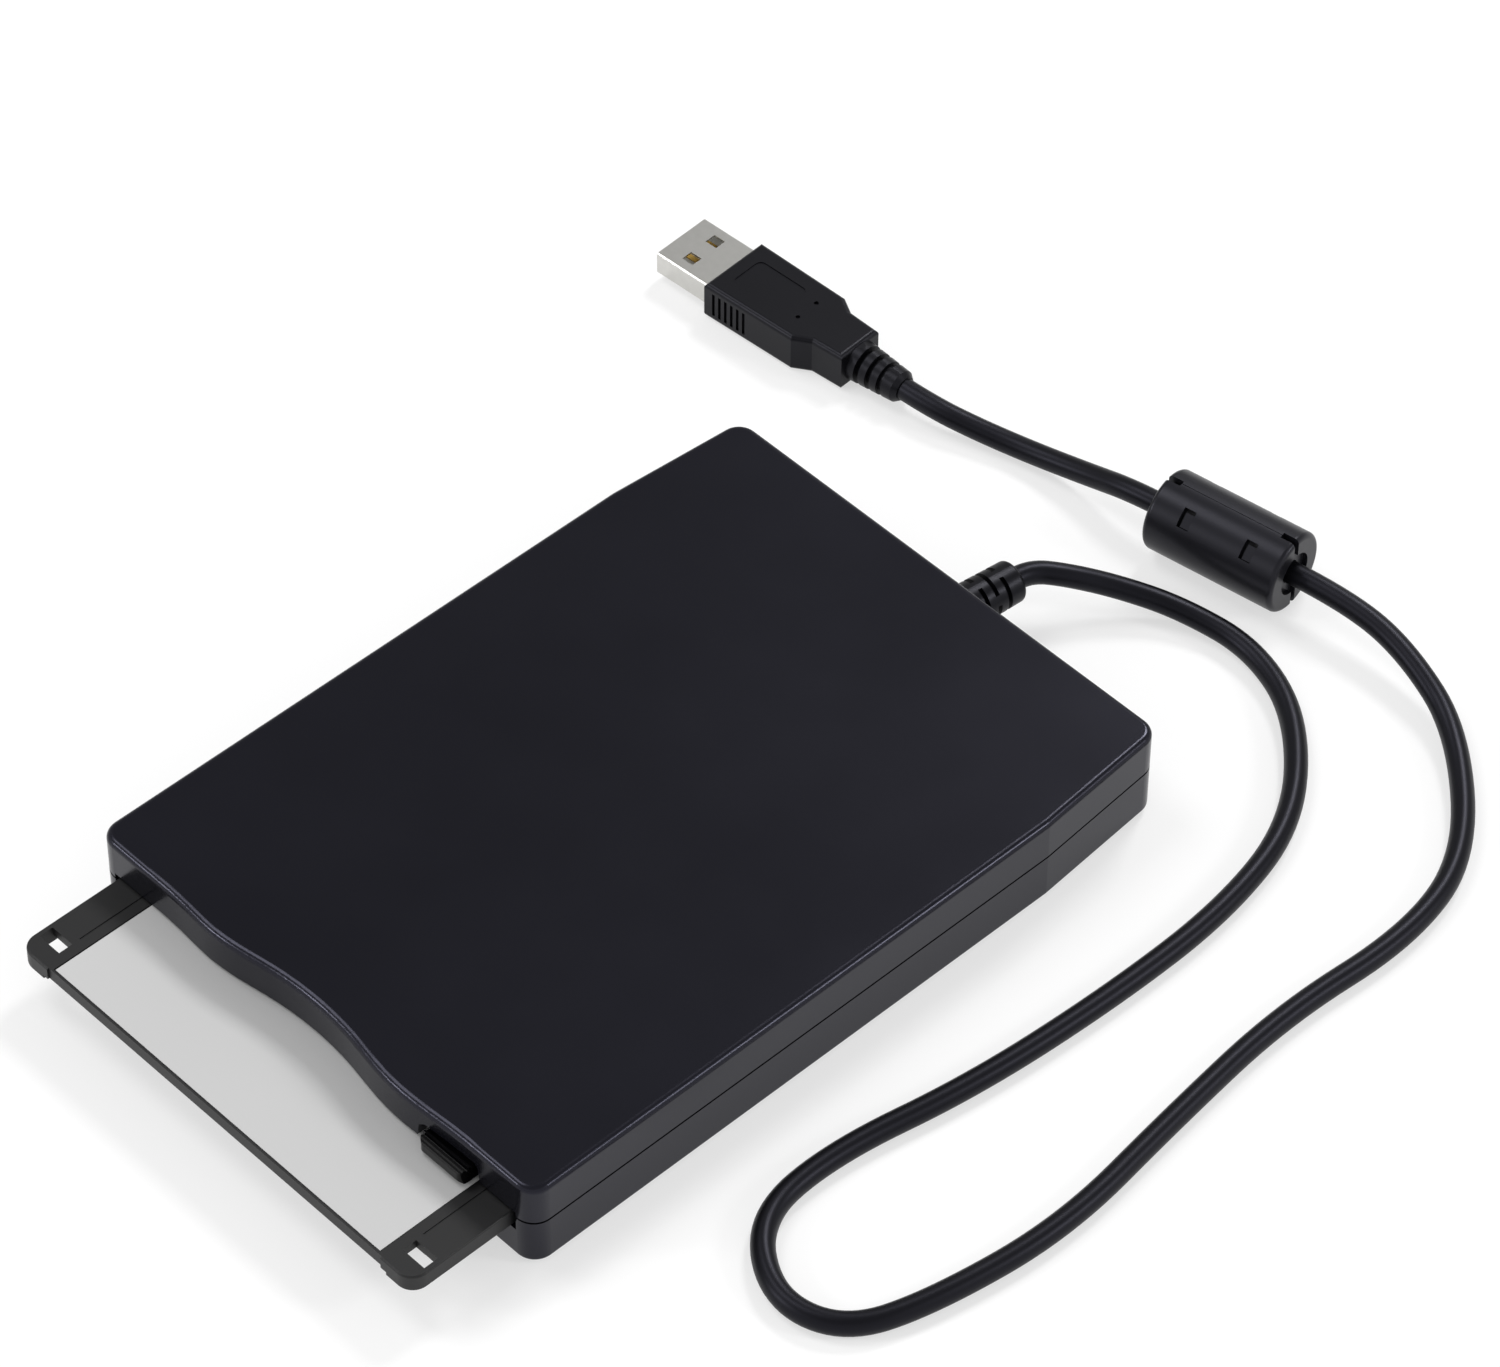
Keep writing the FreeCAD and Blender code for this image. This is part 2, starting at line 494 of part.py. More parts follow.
seats = []
for s in (1, -1):
    x, y = s * X_SEAT, Y_SEAT0
    seats.append(fuse(cyl(x, y, Z_CH1, Z_CH1 + 0.6, 2.6), cyl(x, y, Z_CH1 + 0.6, Z_D0 - 0.85, 1.7),
                      cone(x, y, Z_D0 - 0.85, Z_D0 - 0.2, 1.7, 1.1)))
    seats.append(cyl(s * (X_SEAT - 0.6), Y_SEAT1, Z_CH1, Z_CH1 + 1.05, 1.2))
save("locating_pins", group(*seats))

# ---- spindle motor -------------------------------------------------------------------------------
Z_M = Z_CH0                                   # top of the motor board
motor_board = round_box(-24.0, 24.0, Y_SPIN - 25.0, Y_SPIN + 24.5, Z_M - 0.6, Z_M, 3.0)
save("motor_board", motor_board)
R_TEETH = ROTOR_R - 2.4
core = cut(cyl(0, Y_SPIN, Z_M + 0.2, Z_M + 0.9, 9.0), cyl(0, Y_SPIN, Z_M, Z_M + 1.0, 4.5))
coils = []
for i in range(COILS):
    tooth = fuse(box(8.5, R_TEETH - 1.6, -0.8, 0.8, Z_M + 0.2, Z_M + 0.9),
                 box(R_TEETH - 1.7, R_TEETH, -3.2, 3.2, Z_M + 0.2, Z_M + 0.9))
    coil = box(9.9, R_TEETH - 2.1, -1.75, 1.75, Z_M + 0.02, Z_M + 1.12)
    coil = coil.makeFillet(0.45, [e for e in coil.Edges if along_x(e)])
    coil = cut(coil, box(9.0, R_TEETH, -0.8, 0.8, Z_M + 0.2, Z_M + 0.9))
    for piece in (tooth, coil):
        piece.rotate(V(0, 0, 0), V(0, 0, 1), 360.0 / COILS * i)
        piece.translate(V(0, Y_SPIN, 0))
    core = core.fuse(tooth)
    coils.append(coil)
save("stator_core", core.removeSplitter().common(cyl(0, Y_SPIN, Z_M, Z_M + 1.0, R_TEETH)))
save("stator_coils", group(*coils))
bearing = fuse(cyl(0, Y_SPIN, Z_M, Z_M + 1.3, 4.4), cyl(0, Y_SPIN, Z_M, Z_M + 0.2, 6.0))
save("spindle_bearing", cut(bearing, cyl(0, Y_SPIN, Z_M - 0.1, Z_M + 1.5, SCREW_R + 0.04)))

cup = cut(cyl(0, Y_SPIN, Z_M + 0.25, Z_M + 1.9, ROTOR_R), cyl(0, Y_SPIN, Z_M, Z_M + 1.45, ROTOR_R - 0.6),
          cyl(0, Y_SPIN, Z_M + 1.0, Z_M + 2.0, 6.0))
for i in range(3):
    a = math.radians(120 * i + 30)
    cup = cut(cup, cyl(12.8 * math.cos(a), Y_SPIN + 12.8 * math.sin(a), Z_M + 1.0, Z_M + 2.2, 2.2))
save("rotor_cup", cup)
save("rotor_magnet", cut(cyl(0, Y_SPIN, Z_M + 0.3, Z_M + 1.4, ROTOR_R - 0.6),
                         cyl(0, Y_SPIN, Z_M, Z_M + 2.0, ROTOR_R - 1.95)))
magnet = cut(cyl(0, Y_SPIN, Z_M + 2.05, Z_M + 2.2, 8.2), cyl(0, Y_SPIN, Z_M + 2.0, Z_M + 2.4, 5.0))
bed = cut(cyl(0, Y_SPIN, Z_M + 2.05, Z_M + 2.25, 8.2), cyl(0, Y_SPIN, Z_M + 2.0, Z_M + 2.4, 5.0))
hub = fuse(cyl(0, Y_SPIN, Z_M + 0.15, Z_M + 1.5, SCREW_R), cyl(0, Y_SPIN, Z_M + 1.45, Z_M + 1.9, 6.0),
           cyl(0, Y_SPIN, Z_M + 1.9, Z_M + 2.15, 11.5), cyl(0, Y_SPIN, Z_M + 2.15, Z_D0 - 0.7, 1.9),
           cone(0, Y_SPIN, Z_D0 - 0.7, Z_D0 - 0.15, 1.9, 1.1))
drive_pin = fuse(cyl(10.0, Y_SPIN, Z_M + 2.15, Z_D0 - 0.85, 1.1),
                 cone(10.0, Y_SPIN, Z_D0 - 0.85, Z_D0 - 0.55, 1.1, 0.8))
save("spindle_hub", group(cut(hub, bed), drive_pin))
save("chuck_magnet", magnet)

# ---- head carriage -------------------------------------------------------------------------------
rods = [cyl_y(x, Z_ROD, Y_ROD0, Y_ROD1, r) for x, r in (ROD_L, ROD_R)]
save("guide_rods", group(*rods))

carriage = fuse(box(-6.6, 6.6, Y_HEAD - 3.2, Y_BLOCK0 + 1.0, Z_CH1 + 0.2, Z_CH1 + 0.9),
                box(-12.0, 11.6, Y_BLOCK0, Y_BLOCK1, Z_CH1 + 0.5, Z_D1 - 0.35))
carriage = cut(carriage, box(-5.2, 5.2, Y_BLOCK0 + 2.0, Y_BLOCK1 - 1.0, Z_CH1 + 2.2, Z_D1 + 0.15),
               round_box(-3.6, 3.6, Y_END + 0.5, Y_BLOCK0 - 3.0, Z_CH1 - 0.3, Z_CH1 + 1.2, 1.2),
               cyl_y(ROD_L[0], Z_ROD, Y_BLOCK0 - 1.0, Y_BLOCK1 + 1.0, ROD_L[1] + 0.03),
               box(ROD_R[0] - 1.1, 12.5, Y_BLOCK0 - 1.0, Y_BLOCK1 + 1.0,
                   Z_ROD - ROD_R[1] - 0.03, Z_ROD + ROD_R[1] + 0.03))
# arm that carries the nut
nut = fuse(box(11.0, 14.2, Y_BLOCK0 + 1.0, Y_BLOCK0 + 4.6, Z_D1 - 2.35, Z_D1 - 0.35),
           box(14.0, X_SCREW + 3.0, Y_BLOCK0 + 1.0, Y_BLOCK0 + 4.6, Z_SCREW - 2.7, Z_SCREW + 2.7))
carriage = fuse(carriage, cut(nut, cyl_y(X_SCREW, Z_SCREW, Y_BLOCK0, Y_BLOCK0 + 6.0, SCREW_R + 0.04)))
# lugs of the arm hinge
for s in (1, -1):
    lug = side_box(s, 6.6, 8.0, Y_HINGE - 1.6, Y_HINGE + 1.6, Z_D1 - 0.55, Z_HINGE)
    carriage = fuse(carriage, lug, side_boss(s, 6.6, 8.0, Y_HINGE, Z_HINGE, 1.6))
carriage = cut(carriage, cyl_x(Y_HINGE, Z_HINGE, -9.0, 9.0, 0.7))
# flag of the track-zero sensor
carriage = fuse(carriage, box(-2.0, -1.2, Y_BLOCK1 - 0.5, Y_BLOCK1 + 3.0, Z_CH1 + 1.4, Z_CH1 + 3.0))
save("head_carriage", group(carriage, cyl_x(Y_HINGE, Z_HINGE, -8.4, 8.4, 0.7)))


def head(z_face, z_body, z_base, z_foot):
    """Head slider with its flexure plate; the four heights run away from the medium."""
    def layer(half, back, front, za, zb):
        return box(-half, half, Y_HEAD - back, Y_HEAD + front, min(za, zb), max(za, zb))

    slider = fuse(layer(2.4, 2.1, 2.1, z_face, z_body), layer(3.0, 2.7, 2.7, z_body, z_base),
                  layer(5.0, 3.0, 4.5, z_base, z_foot))
    return cut(slider, box(-0.5, 0.5, Y_HEAD - 3.0, Y_HEAD + 3.0, z_face - 0.2, z_face + 0.2))


save("lower_head", head(Z_D0 - 0.55, Z_D0 - 0.95, Z_CH1 + 1.1, Z_CH1 + 0.9))
Z_ARM = Z_HINGE + 0.4                         # underside of the upper arm
arm = fuse(box(-6.0, 6.0, Y_HEAD - 3.2, Y_BLOCK0 + 0.5, Z_ARM, Z_ARM + 0.7),
           box(5.5, 9.4, Y_HEAD - 1.0, Y_HEAD + 3.0, Z_ARM, Z_ARM + 0.7))
for s in (1, -1):
    arm = fuse(arm, side_box(s, 3.2, 6.0, Y_BLOCK0, Y_HINGE, Z_HINGE - 0.4, Z_ARM + 0.7),
               side_boss(s, 3.2, 6.0, Y_HINGE, Z_HINGE, 1.45),
               side_box(s, 5.4, 6.0, Y_HEAD + 3.0, Y_BLOCK0, Z_ARM + 0.6, Z_ARM + 1.5))
save("upper_head_arm", cut(arm, cyl_x(Y_HINGE, Z_HINGE, -7.0, 7.0, 0.73),
                           round_box(-3.4, 3.4, Y_END, Y_BLOCK0 - 2.5, Z_ARM - 1.0, Z_ARM + 2.0, 1.2)))
save("upper_head", head(Z_H0, Z_H0 + 0.4, Z_ARM - 0.2, Z_ARM))
# close-wound torsion spring round the hinge pin, its leg lying on the arm
turns = cut(cyl_x(Y_HINGE, Z_HINGE, -2.9, 2.1, 1.65), cyl_x(Y_HINGE, Z_HINGE, -3.0, 2.2, 1.25))
save("arm_spring", group(turns, cyl_y(2.0, Z_HINGE + 1.66, Y_BLOCK0 - 0.5, Y_HINGE, 0.2)
                         .cut(cyl_x(Y_HINGE, Z_HINGE, -3.0, 3.0, 1.65))))

# ---- stepper and lead screw ----------------------------------------------------------------------
Y_BR0 = Y_END + 0.4
flanges = [box(12.5, 21.9, Y_BR0, Y_MOTOR, Z_CH1, Z_CH1 + 0.5),
           box(12.5, 21.9, Y_BR0, Y_BR0 + 0.8, Z_CH1, Z_SCREW + 3.0),
           box(12.5, 21.9, Y_MOTOR - 0.8, Y_MOTOR, Z_CH1, Z_SCREW + 4.0)]
save("screw_bracket", cut(fuse(*flanges), cyl_y(X_SCREW, Z_SCREW, Y_BR0 - 1.0, Y_BR0 + 1.6, 0.64),
                          cyl_y(X_SCREW, Z_SCREW, Y_MOTOR - 1.5, Y_MOTOR + 0.5, 1.9),
                          cyl(14.2, Y_BR0 + 5.1, Z_CH1 - 0.8, Z_CH1 + 1.2, 0.9),
                          cyl(20.2, Y_MOTOR - 5.5, Z_CH1 - 0.8, Z_CH1 + 1.2, 0.9)))
stepper = fuse(cyl_y(X_SCREW, Z_SCREW, Y_MOTOR, Y_MOTOR + 10.0, 4.6),
               cyl_y(X_SCREW, Z_SCREW, Y_MOTOR + 10.0, Y_MOTOR + 10.8, 2.0),
               box(X_SCREW - 3.0, X_SCREW + 3.0, Y_MOTOR + 1.5, Y_MOTOR + 7.5, Z_SCREW + 3.8, Z_SCREW + 5.2))
joint = cut(cyl_y(X_SCREW, Z_SCREW, Y_MOTOR + 4.7, Y_MOTOR + 5.3, 5.0),
            cyl_y(X_SCREW, Z_SCREW, Y_MOTOR + 4.5, Y_MOTOR + 5.5, 4.35))
bore = cyl_y(X_SCREW, Z_SCREW, Y_MOTOR - 0.5, Y_MOTOR + 8.5, SCREW_R + 0.04)
save("stepper_motor", cut(stepper, joint, bore))
save("lead_screw", fuse(cyl_y(X_SCREW, Z_SCREW, Y_BR0 + 0.1, Y_BR0 + 1.3, 0.6),
                        cyl_y(X_SCREW, Z_SCREW, Y_BR0 + 1.3, Y_MOTOR + 7.5, SCREW_R)))
save("track_zero_sensor", cut(box(-5.0, 1.8, Y_BLOCK1 + 3.2, Y_BLOCK1 + 6.6, Z_CH1, Z_CH1 + 4.2),
                              box(-2.6, -0.6, Y_BLOCK1 + 2.0, Y_BLOCK1 + 7.0, Z_CH1 + 1.1, Z_CH1 + 5.2)))

# ---- mechanism electronics -----------------------------------------------------------------------
# the drive board leaves room for the lamp at the front
Y_BD = YF + 4.4
lamp_x0, lamp_x1 = LED[0] - 2.0, LED[0] + 2.0
plan = [(BOARD_X0, Y_BD), (lamp_x0, Y_BD), (lamp_x0, Y_BD + 1.8), (lamp_x1, Y_BD + 1.8), (lamp_x1, YF + 19.0),
        (BOARD_X1, YF + 27.0), (BOARD_X1, Y_SIDE1), (BOARD_X0, Y_SIDE1)]
drive_board = prism(plan, Z_CH1, Z_BOARD)
for x, y in (BOSSES[0], BOSSES[2], (-X_SEAT, Y_SEAT0), (-X_SEAT, Y_SEAT1)):
    drive_board = cut(drive_board, cyl(x, y, Z_CH0, Z_BOARD + 0.5, 2.9))
save("drive_board", drive_board)
small = [round_box(BOARD_X1 - 10.5, BOARD_X1 - 1.5, YF + 51.0, YF + 60.0, Z_BOARD, Z_BOARD + 1.2, 0.4),
         round_box(BOARD_X1 - 9.5, BOARD_X1 - 2.5, YF + 69.0, YF + 76.0, Z_BOARD, Z_BOARD + 1.1, 0.4),
         box(BOARD_X1 - 8.5, BOARD_X1 - 1.5, YF + 37.0, YF + 40.0, Z_BOARD, Z_BOARD + 1.1)]
for y in (YF + 43.0, YF + 62.5, Y_END - 15.5):
    small.append(box(BOARD_X0 + 3.8, BOARD_X0 + 5.2, y, y + 2.6, Z_BOARD, Z_BOARD + 0.6))
for y in (Y_END - 14.0, Y_END - 10.5):
    small.append(box(BOARD_X1 - 4.5, BOARD_X1 - 2.3, y, y + 1.2, Z_BOARD, Z_BOARD + 0.6))
# switches that feel the corner holes of a loaded diskette
for x, z0 in ((-X_HOLE, Z_BOARD), (X_HOLE, Z_CH1)):
    small.append(fuse(box(x - 1.5, x + 1.5, Y_SWITCH - 0.8, Y_SWITCH + 2.6, z0, Z_D0 - 1.15),
                      cyl(x, Y_SWITCH, Z_D0 - 1.15, Z_D0 - 0.15, 0.55)))
save("drive_board_parts", group(*small))

# ---- USB board -----------------------------------------------------------------------------------
post_x, post_y = BACK_SCREWS[0]
usb_board = prism([(USB_X0, YB - 34.0), (USB_X1, YB - 34.0), (USB_X1, YB - 3.5), (post_x + 4.5, YB - 3.5),
                   (post_x + 4.5, post_y - 4.0), (USB_X0, post_y - 6.0)], Z_USB0, Z_USB)
for x, y in USB_POSTS:
    usb_board = cut(usb_board, cyl(x, y, Z_USB0 - 0.4, Z_USB + 0.4, 0.9))
save("usb_board", usb_board)
chip_x0, chip_x1 = USB_X1 - 22.5, USB_X1 - 13.5
on_board = [round_box(chip_x0, chip_x1, YB - 25.0, YB - 16.0, Z_USB, Z_USB + 1.4, 0.4),
            round_box(USB_X1 - 9.5, USB_X1 - 5.5, YB - 23.0, YB - 18.0, Z_USB, Z_USB + 1.0, 0.3),
            fuse(round_box(USB_X1 - 14.9, USB_X1 - 3.9, YB - 14.4, YB - 10.4, Z_USB, Z_USB + 0.4, 1.9),
                 round_box(USB_X1 - 14.4, USB_X1 - 4.4, YB - 14.0, YB - 10.8, Z_USB + 0.4, Z_USB + 3.4, 1.5)),
            cyl(USB_X1 - 12.5, YB - 6.7, Z_USB, Z_USB + 5.8, 2.3)]
for x, y in ((12.4, 25.0), (12.4, 20.0), (17.5, 29.5), (20.5, 29.5)):
    on_board.append(box(USB_X1 - x, USB_X1 - x + 1.4, YB - y, YB - y + 2.6, Z_USB, Z_USB + 0.6))
for i in range(9):
    x = chip_x0 + 0.5 + i
    on_board.append(box(x, x + 0.3, YB - 25.8, YB - 25.0, Z_USB, Z_USB + 0.3))
    on_board.append(box(x, x + 0.3, YB - 16.0, YB - 15.2, Z_USB, Z_USB + 0.3))
save("board_parts", group(*on_board))
# one connector takes the wires of the cord, the other two take the flat cable
rx, rh = RIBBON
Y_FFC0, Y_FFC1 = Y_SIDE1 - 4.0, YB - 33.0
sockets = [cut(box(USB_X1 - 8.5, USB_X1 - 0.7, YB - 9.6, YB - 7.8, Z_USB, Z_USB + 4.0),
               box(USB_X1 - 7.7, USB_X1 - 1.5, YB - 9.2, YB - 7.0, Z_USB + 0.8, Z_USB + 3.2)),
           cut(box(rx - rh - 1.0, rx + rh + 1.0, Y_FFC1, Y_FFC1 + 3.4, Z_USB, Z_USB + 1.6),
               box(rx - rh - 0.2, rx + rh + 0.2, Y_FFC1 - 1.0, Y_FFC1 + 2.2, Z_USB + 0.4, Z_USB + 1.0)),
           cut(box(rx - rh - 1.0, rx + rh + 1.0, Y_FFC0, Y_FFC0 + 3.4, Z_BOARD, Z_BOARD + 1.6),
               box(rx - rh - 0.2, rx + rh + 0.2, Y_FFC0 + 1.2, Y_FFC0 + 4.0, Z_BOARD + 0.4, Z_BOARD + 1.0))]
save("board_connectors", group(*sockets))
over = [(Y_FFC0 + 1.4, Z_BOARD + 0.44), (Y_FFC1 - 3.5, Z_BOARD + 0.44), (Y_FFC1 - 2.7, Z_USB + 0.72),
        (Y_FFC1 - 2.0, Z_USB + 0.84), (Y_FFC1 + 2.0, Z_USB + 0.44)]
save("flat_flex_cable", prism_x(over + [(y, z + 0.18) for y, z in reversed(over)], rx - rh, rx + rh))

# ---- slider, button, springs ---------------------------------------------------------------------
slider = fuse(box(-X_SLIDE, X_SLIDE, YF + 7.0, YF + 51.0, Z_S0, Z_S1),
              box(-X_SLIDE, -30.0, YF + 50.0, Y_END - 5.5, Z_S0, Z_S1),
              box(33.5, X_SLIDE, YF + 50.0, Y_END - 5.5, Z_S0, Z_S1))
for s in (1, -1):
    flange = side_box(s, X_SLIDE_IN, X_SLIDE, YF + 9.0, Y_END - 7.5, Z_PIN - 1.6, Z_S1)
    for y in Y_PINS:
        # dwell at the top, then the ramp that lowers the holder
        ramp = [(y + dy, Z_PIN + dz) for dy, dz in (
            (-2.4, -0.9), (1.0, -0.9), (5.4, -2.1), (8.2, -2.1), (8.2, -1.4), (6.2, -0.8), (1.4, 0.9),
            (-2.4, 0.9))]
        flange = cut(flange, prism_x(ramp, -X_SLIDE - 1.0, X_SLIDE + 1.0))
    slider = fuse(slider, flange)
slider = cut(slider, round_box(-24.0, 18.0, YF + 17.0, YF + 43.0, Z_S0 - 1.0, Z_S1 + 0.5, 4.0))
# tongue in the button, hook of the spring
slider = fuse(slider, box(BTN_X0 + 1.4, BTN_X1 - 1.4, YF + 3.8, YF + 7.5, Z_S0, Z_S1),
              box(X_SPRING - 0.9, X_SPRING + 0.9, YF + 31.8, YF + 32.4, Z_S1 - 0.05, Z_S1 + 2.15))
save("slider_plate", slider)

# button with two ribs along its upper edge for the finger
y_face, y_back = YF - BTN_OUT, YF + 3.1
profile = [(y_back, Z_BTN0), (y_face + 0.6, Z_BTN0), (y_face, Z_BTN0 + 0.5)]
profile += [(y_face + dy, Z_BTN1 + dz) for dy, dz in (
    (0.0, -1.2), (0.15, -0.75), (0.4, -0.62), (0.55, -0.3), (0.85, -0.27), (0.95, -0.5), (1.2, -0.5),
    (1.35, 0.0), (1.7, 0.0), (1.95, -0.4))]
button = prism_x(profile + [(y_back, Z_BTN1 - 0.4)], BTN_X0, BTN_X1)
for x0, xc in ((BTN_X0 - 0.1, BTN_X0 + 1.2), (BTN_X1 - 1.2, BTN_X1 - 1.2)):
    corner = box(x0, x0 + 1.3, y_face - 1.0, y_face + 1.2, Z_BTN0 - 1.0, Z_BTN1 + 1.0)
    button = cut(button, cut(corner, cyl(xc, y_face + 1.2, Z_BTN0 - 2.0, Z_BTN1 + 2.0, 1.2)))
button = fuse(button, box(BTN_X0 + 2.2, BTN_X1 - 2.2, YF + 2.8, YF + 5.6, Z_S0 - 0.8, Z_S1 + 0.95))
tongue_room = box(BTN_X0 + 1.3, BTN_X1 - 1.3, YF + 3.75, YF + 8.0, Z_S0 - 0.02, Z_S1 + 0.02)
save("eject_button", cut(button, tongue_room))

# eject spring over the slider, close-wound, between the shield's lug and the slider's hook
Z_SPRING = Z_S1 + 1.3
turns = cut(cyl_y(X_SPRING, Z_SPRING, YF + 17.0, YF + 29.8, 1.18),
            cyl_y(X_SPRING, Z_SPRING, YF + 16.9, YF + 29.9, 0.82))
ends = [cyl_y(X_SPRING, Z_SPRING, YF + y0, YF + y1, 0.18) for y0, y1 in ((11.6, 17.0), (29.8, 31.8))]
save("eject_spring", group(turns, *ends))

# ---- diskette ------------------------------------------------------------------------------------


def disk_plan(z0, z1):
    """Rounded plan of the diskette between two heights, with the cut corner that keys it."""
    b = box(-X_DISK, X_DISK, Y_LABEL, Y_SHUT, z0, z1)
    b = b.makeFillet(3.0, [e for e in b.Edges if upright(e) and e.BoundBox.YMax < Y_HUB])
    b = b.makeFillet(1.5, [e for e in b.Edges if upright(e) and e.BoundBox.YMin > Y_HUB + HUB_FROM_END / 2
                           and e.BoundBox.XMax < 0])
    key = [(X_DISK - 4.0, Y_SHUT + 0.01), (X_DISK + 0.01, Y_SHUT - 4.0), (X_DISK + 1.0, Y_SHUT + 1.0)]
    return cut(b, prism(key, z0 - 1.0, z1 + 1.0))


upper = disk_plan(MID, Z_D1)
upper = upper.makeFillet(0.35, edges_at_z(upper, Z_D1))
lower = disk_plan(Z_D0, MID)
lower = lower.makeFillet(0.45, edges_at_z(lower, Z_D0))
# chamber of the medium, hub opening, head windows, beds of the shutter
upper = cut(upper, cyl(0, Y_HUB, MID - 0.1, MID + 0.5, CHAMBER_R))
lower = cut(lower, cyl(0, Y_HUB, MID - 0.5, MID + 0.1, CHAMBER_R),
            cyl(0, Y_HUB, Z_D0 - 1.0, MID + 1.0, 13.25))
window = round_box(-4.5, 4.5, Y_SHUT - 23.5, Y_SHUT - 4.0, Z_D0 - 1.0, Z_D1 + 1.0, 1.0)
shut_end = box(-22.0, 22.0, Y_SHUT - 0.3, Y_SHUT + 1.0, Z_D0 - 1.0, Z_D1 + 1.0)
upper = cut(upper, window, shut_end, box(-22.0, 22.0, Y_SHUT - 26.0, Y_SHUT + 1.0, Z_D1 - 0.28, Z_D1 + 1.0))
lower = cut(lower, window, shut_end, box(-22.0, 22.0, Y_SHUT - 26.0, Y_SHUT + 1.0, Z_D0 - 1.0, Z_D0 + 0.28))
# corner holes: density hole at the left, write-protect hole at the right, wider in the lower shell
Y_HOLE0, Y_HOLE1 = Y_HOLE - 1.9, Y_HOLE + 1.9
hole_x0, hole_x1 = X_HOLE - 3.85, X_HOLE + 2.3
for s in (1, -1):
    upper = cut(upper, side_box(s, hole_x0 + 1.3, hole_x1 - 0.15, Y_HOLE0 + 0.4, Y_HOLE1 - 0.8,
                                MID - 0.1, Z_D1 + 1.0))
    lower = cut(lower, side_box(s, hole_x0, hole_x1, Y_HOLE0, Y_HOLE1, Z_D0 - 1.0, MID + 0.1))
# bed of the write-protect tab behind its hole, with a finger slot underneath
lower = cut(lower, box(hole_x0, hole_x1, Y_HOLE1 - 0.1, Y_HOLE1 + 5.4, Z_D0 + 0.7, MID + 0.1),
            box(X_HOLE - 1.55, X_HOLE + 1.35, Y_HOLE1 - 0.1, Y_HOLE1 + 4.4, Z_D0 - 1.0, Z_D0 + 1.0))
# label bed on top, thinner strip at the label end, its slope underneath, steps along the wings
LABEL_X = X_DISK - LABEL_IN
LABEL_Y0 = Y_LABEL + 0.9
LABEL_Y1 = LABEL_Y0 + LABEL_L
upper = cut(upper, box(-LABEL_X - 0.2, LABEL_X + 0.2, LABEL_Y0 - 0.2, LABEL_Y1 + 0.2, Z_D1 - 0.2, Z_D1 + 1.0),
            box(-LABEL_X - 1.0, LABEL_X + 1.0, Y_LABEL - 1.0, Y_LABEL + 0.35, MID - 1.0, Z_D1 + 1.0))
slope = [(Y_LABEL - 1.0, Z_D0 - 1.0), (Y_LABEL - 1.0, Z_D0 + 0.95), (Y_LABEL + 0.5, Z_D0 + 0.95),
         (Y_LABEL + 2.6, Z_D0 - 0.01), (Y_LABEL + 2.6, Z_D0 - 1.0)]
lower = cut(lower, box(-LABEL_X - 1.0, LABEL_X + 1.0, Y_LABEL - 1.0, Y_LABEL + 0.35, Z_D0 - 1.0, MID + 1.0),
            prism_x(slope, -LABEL_X - 2.2, LABEL_X + 2.2))
for s in (1, -1):
    step = side_box(s, LABEL_X + 2.0, LABEL_X + 2.35, Y_LABEL + 7.5, Y_LABEL + 60.0, Z_D1 - 0.15, Z_D1 + 1.0)
    upper = cut(upper, step)
# locating holes of the lower shell, the right one oblong
y_seat = Y_HUB - 31.0
lower = cut(lower, cyl(-X_SEAT, y_seat, Z_D0 - 1.0, MID - 0.3, 1.8))
for dx in (-0.4, 0.4):
    lower = cut(lower, cyl(X_SEAT + dx, y_seat, Z_D0 - 1.0, MID - 0.3, 1.8))
lower = cut(lower, box(X_SEAT - 0.4, X_SEAT + 0.4, y_seat - 1.8, y_seat + 1.8, Z_D0 - 1.0, MID - 0.3))
# pocket of the shutter spring
x_sp, y_sp = X_DISK - 8.0, Y_SHUT - 8.5
pocket = box(x_sp - 4.5, x_sp + 5.0, y_sp - 5.0, y_sp + 5.5, MID - 0.6, MID + 0.6)
save("diskette_upper_shell", cut(upper, pocket))
save("diskette_lower_shell", cut(lower, pocket))
save("label", box(-LABEL_X, LABEL_X, LABEL_Y0, LABEL_Y1, Z_D1 - 0.2, Z_D1 - 0.06))
liners = []
for z in (MID + 0.3, MID - 0.5):
    gap = box(-5.2, 5.2, Y_HUB + 15.0, Y_HUB + CHAMBER_R + 1.4, z - 1.0, z + 1.0)
    liners.append(cut(cyl(0, Y_HUB, z, z + 0.2, CHAMBER_R - 0.3), cyl(0, Y_HUB, z - 1.0, z + 1.0, 13.5), gap))
save("liners", group(*liners))
# shutter, folded round the end of the diskette, with its window beside the head window
sx0, sx1 = -7.0, 21.0
y_fold = Y_SHUT - 0.05
shutter = fuse(box(sx0, sx1, y_fold - 25.45, y_fold, Z_D1 - 0.25, Z_D1 - 0.05),
               box(sx0, sx1, y_fold - 25.45, y_fold, Z_D0 + 0.05, Z_D0 + 0.25),
               box(sx0, sx1, y_fold - 0.2, y_fold, Z_D0 + 0.05, Z_D1 - 0.05))
x_win = SHUTTER_TRAVEL
save("shutter", cut(shutter, round_box(x_win - 4.8, x_win + 4.8, Y_SHUT - 23.6, Y_SHUT - 3.9,
                                       Z_D0 - 1.0, Z_D1 + 1.0, 1.0)))
ring = cut(cyl(x_sp, y_sp, MID - 0.35, MID + 0.35, 2.8), cyl(x_sp, y_sp, MID - 1.0, MID + 1.0, 2.45))
leg = box(x_sp - 2.8, x_sp - 2.45, y_sp, y_sp + 5.0, MID - 0.18, MID + 0.18)
save("shutter_spring", fuse(ring, leg))
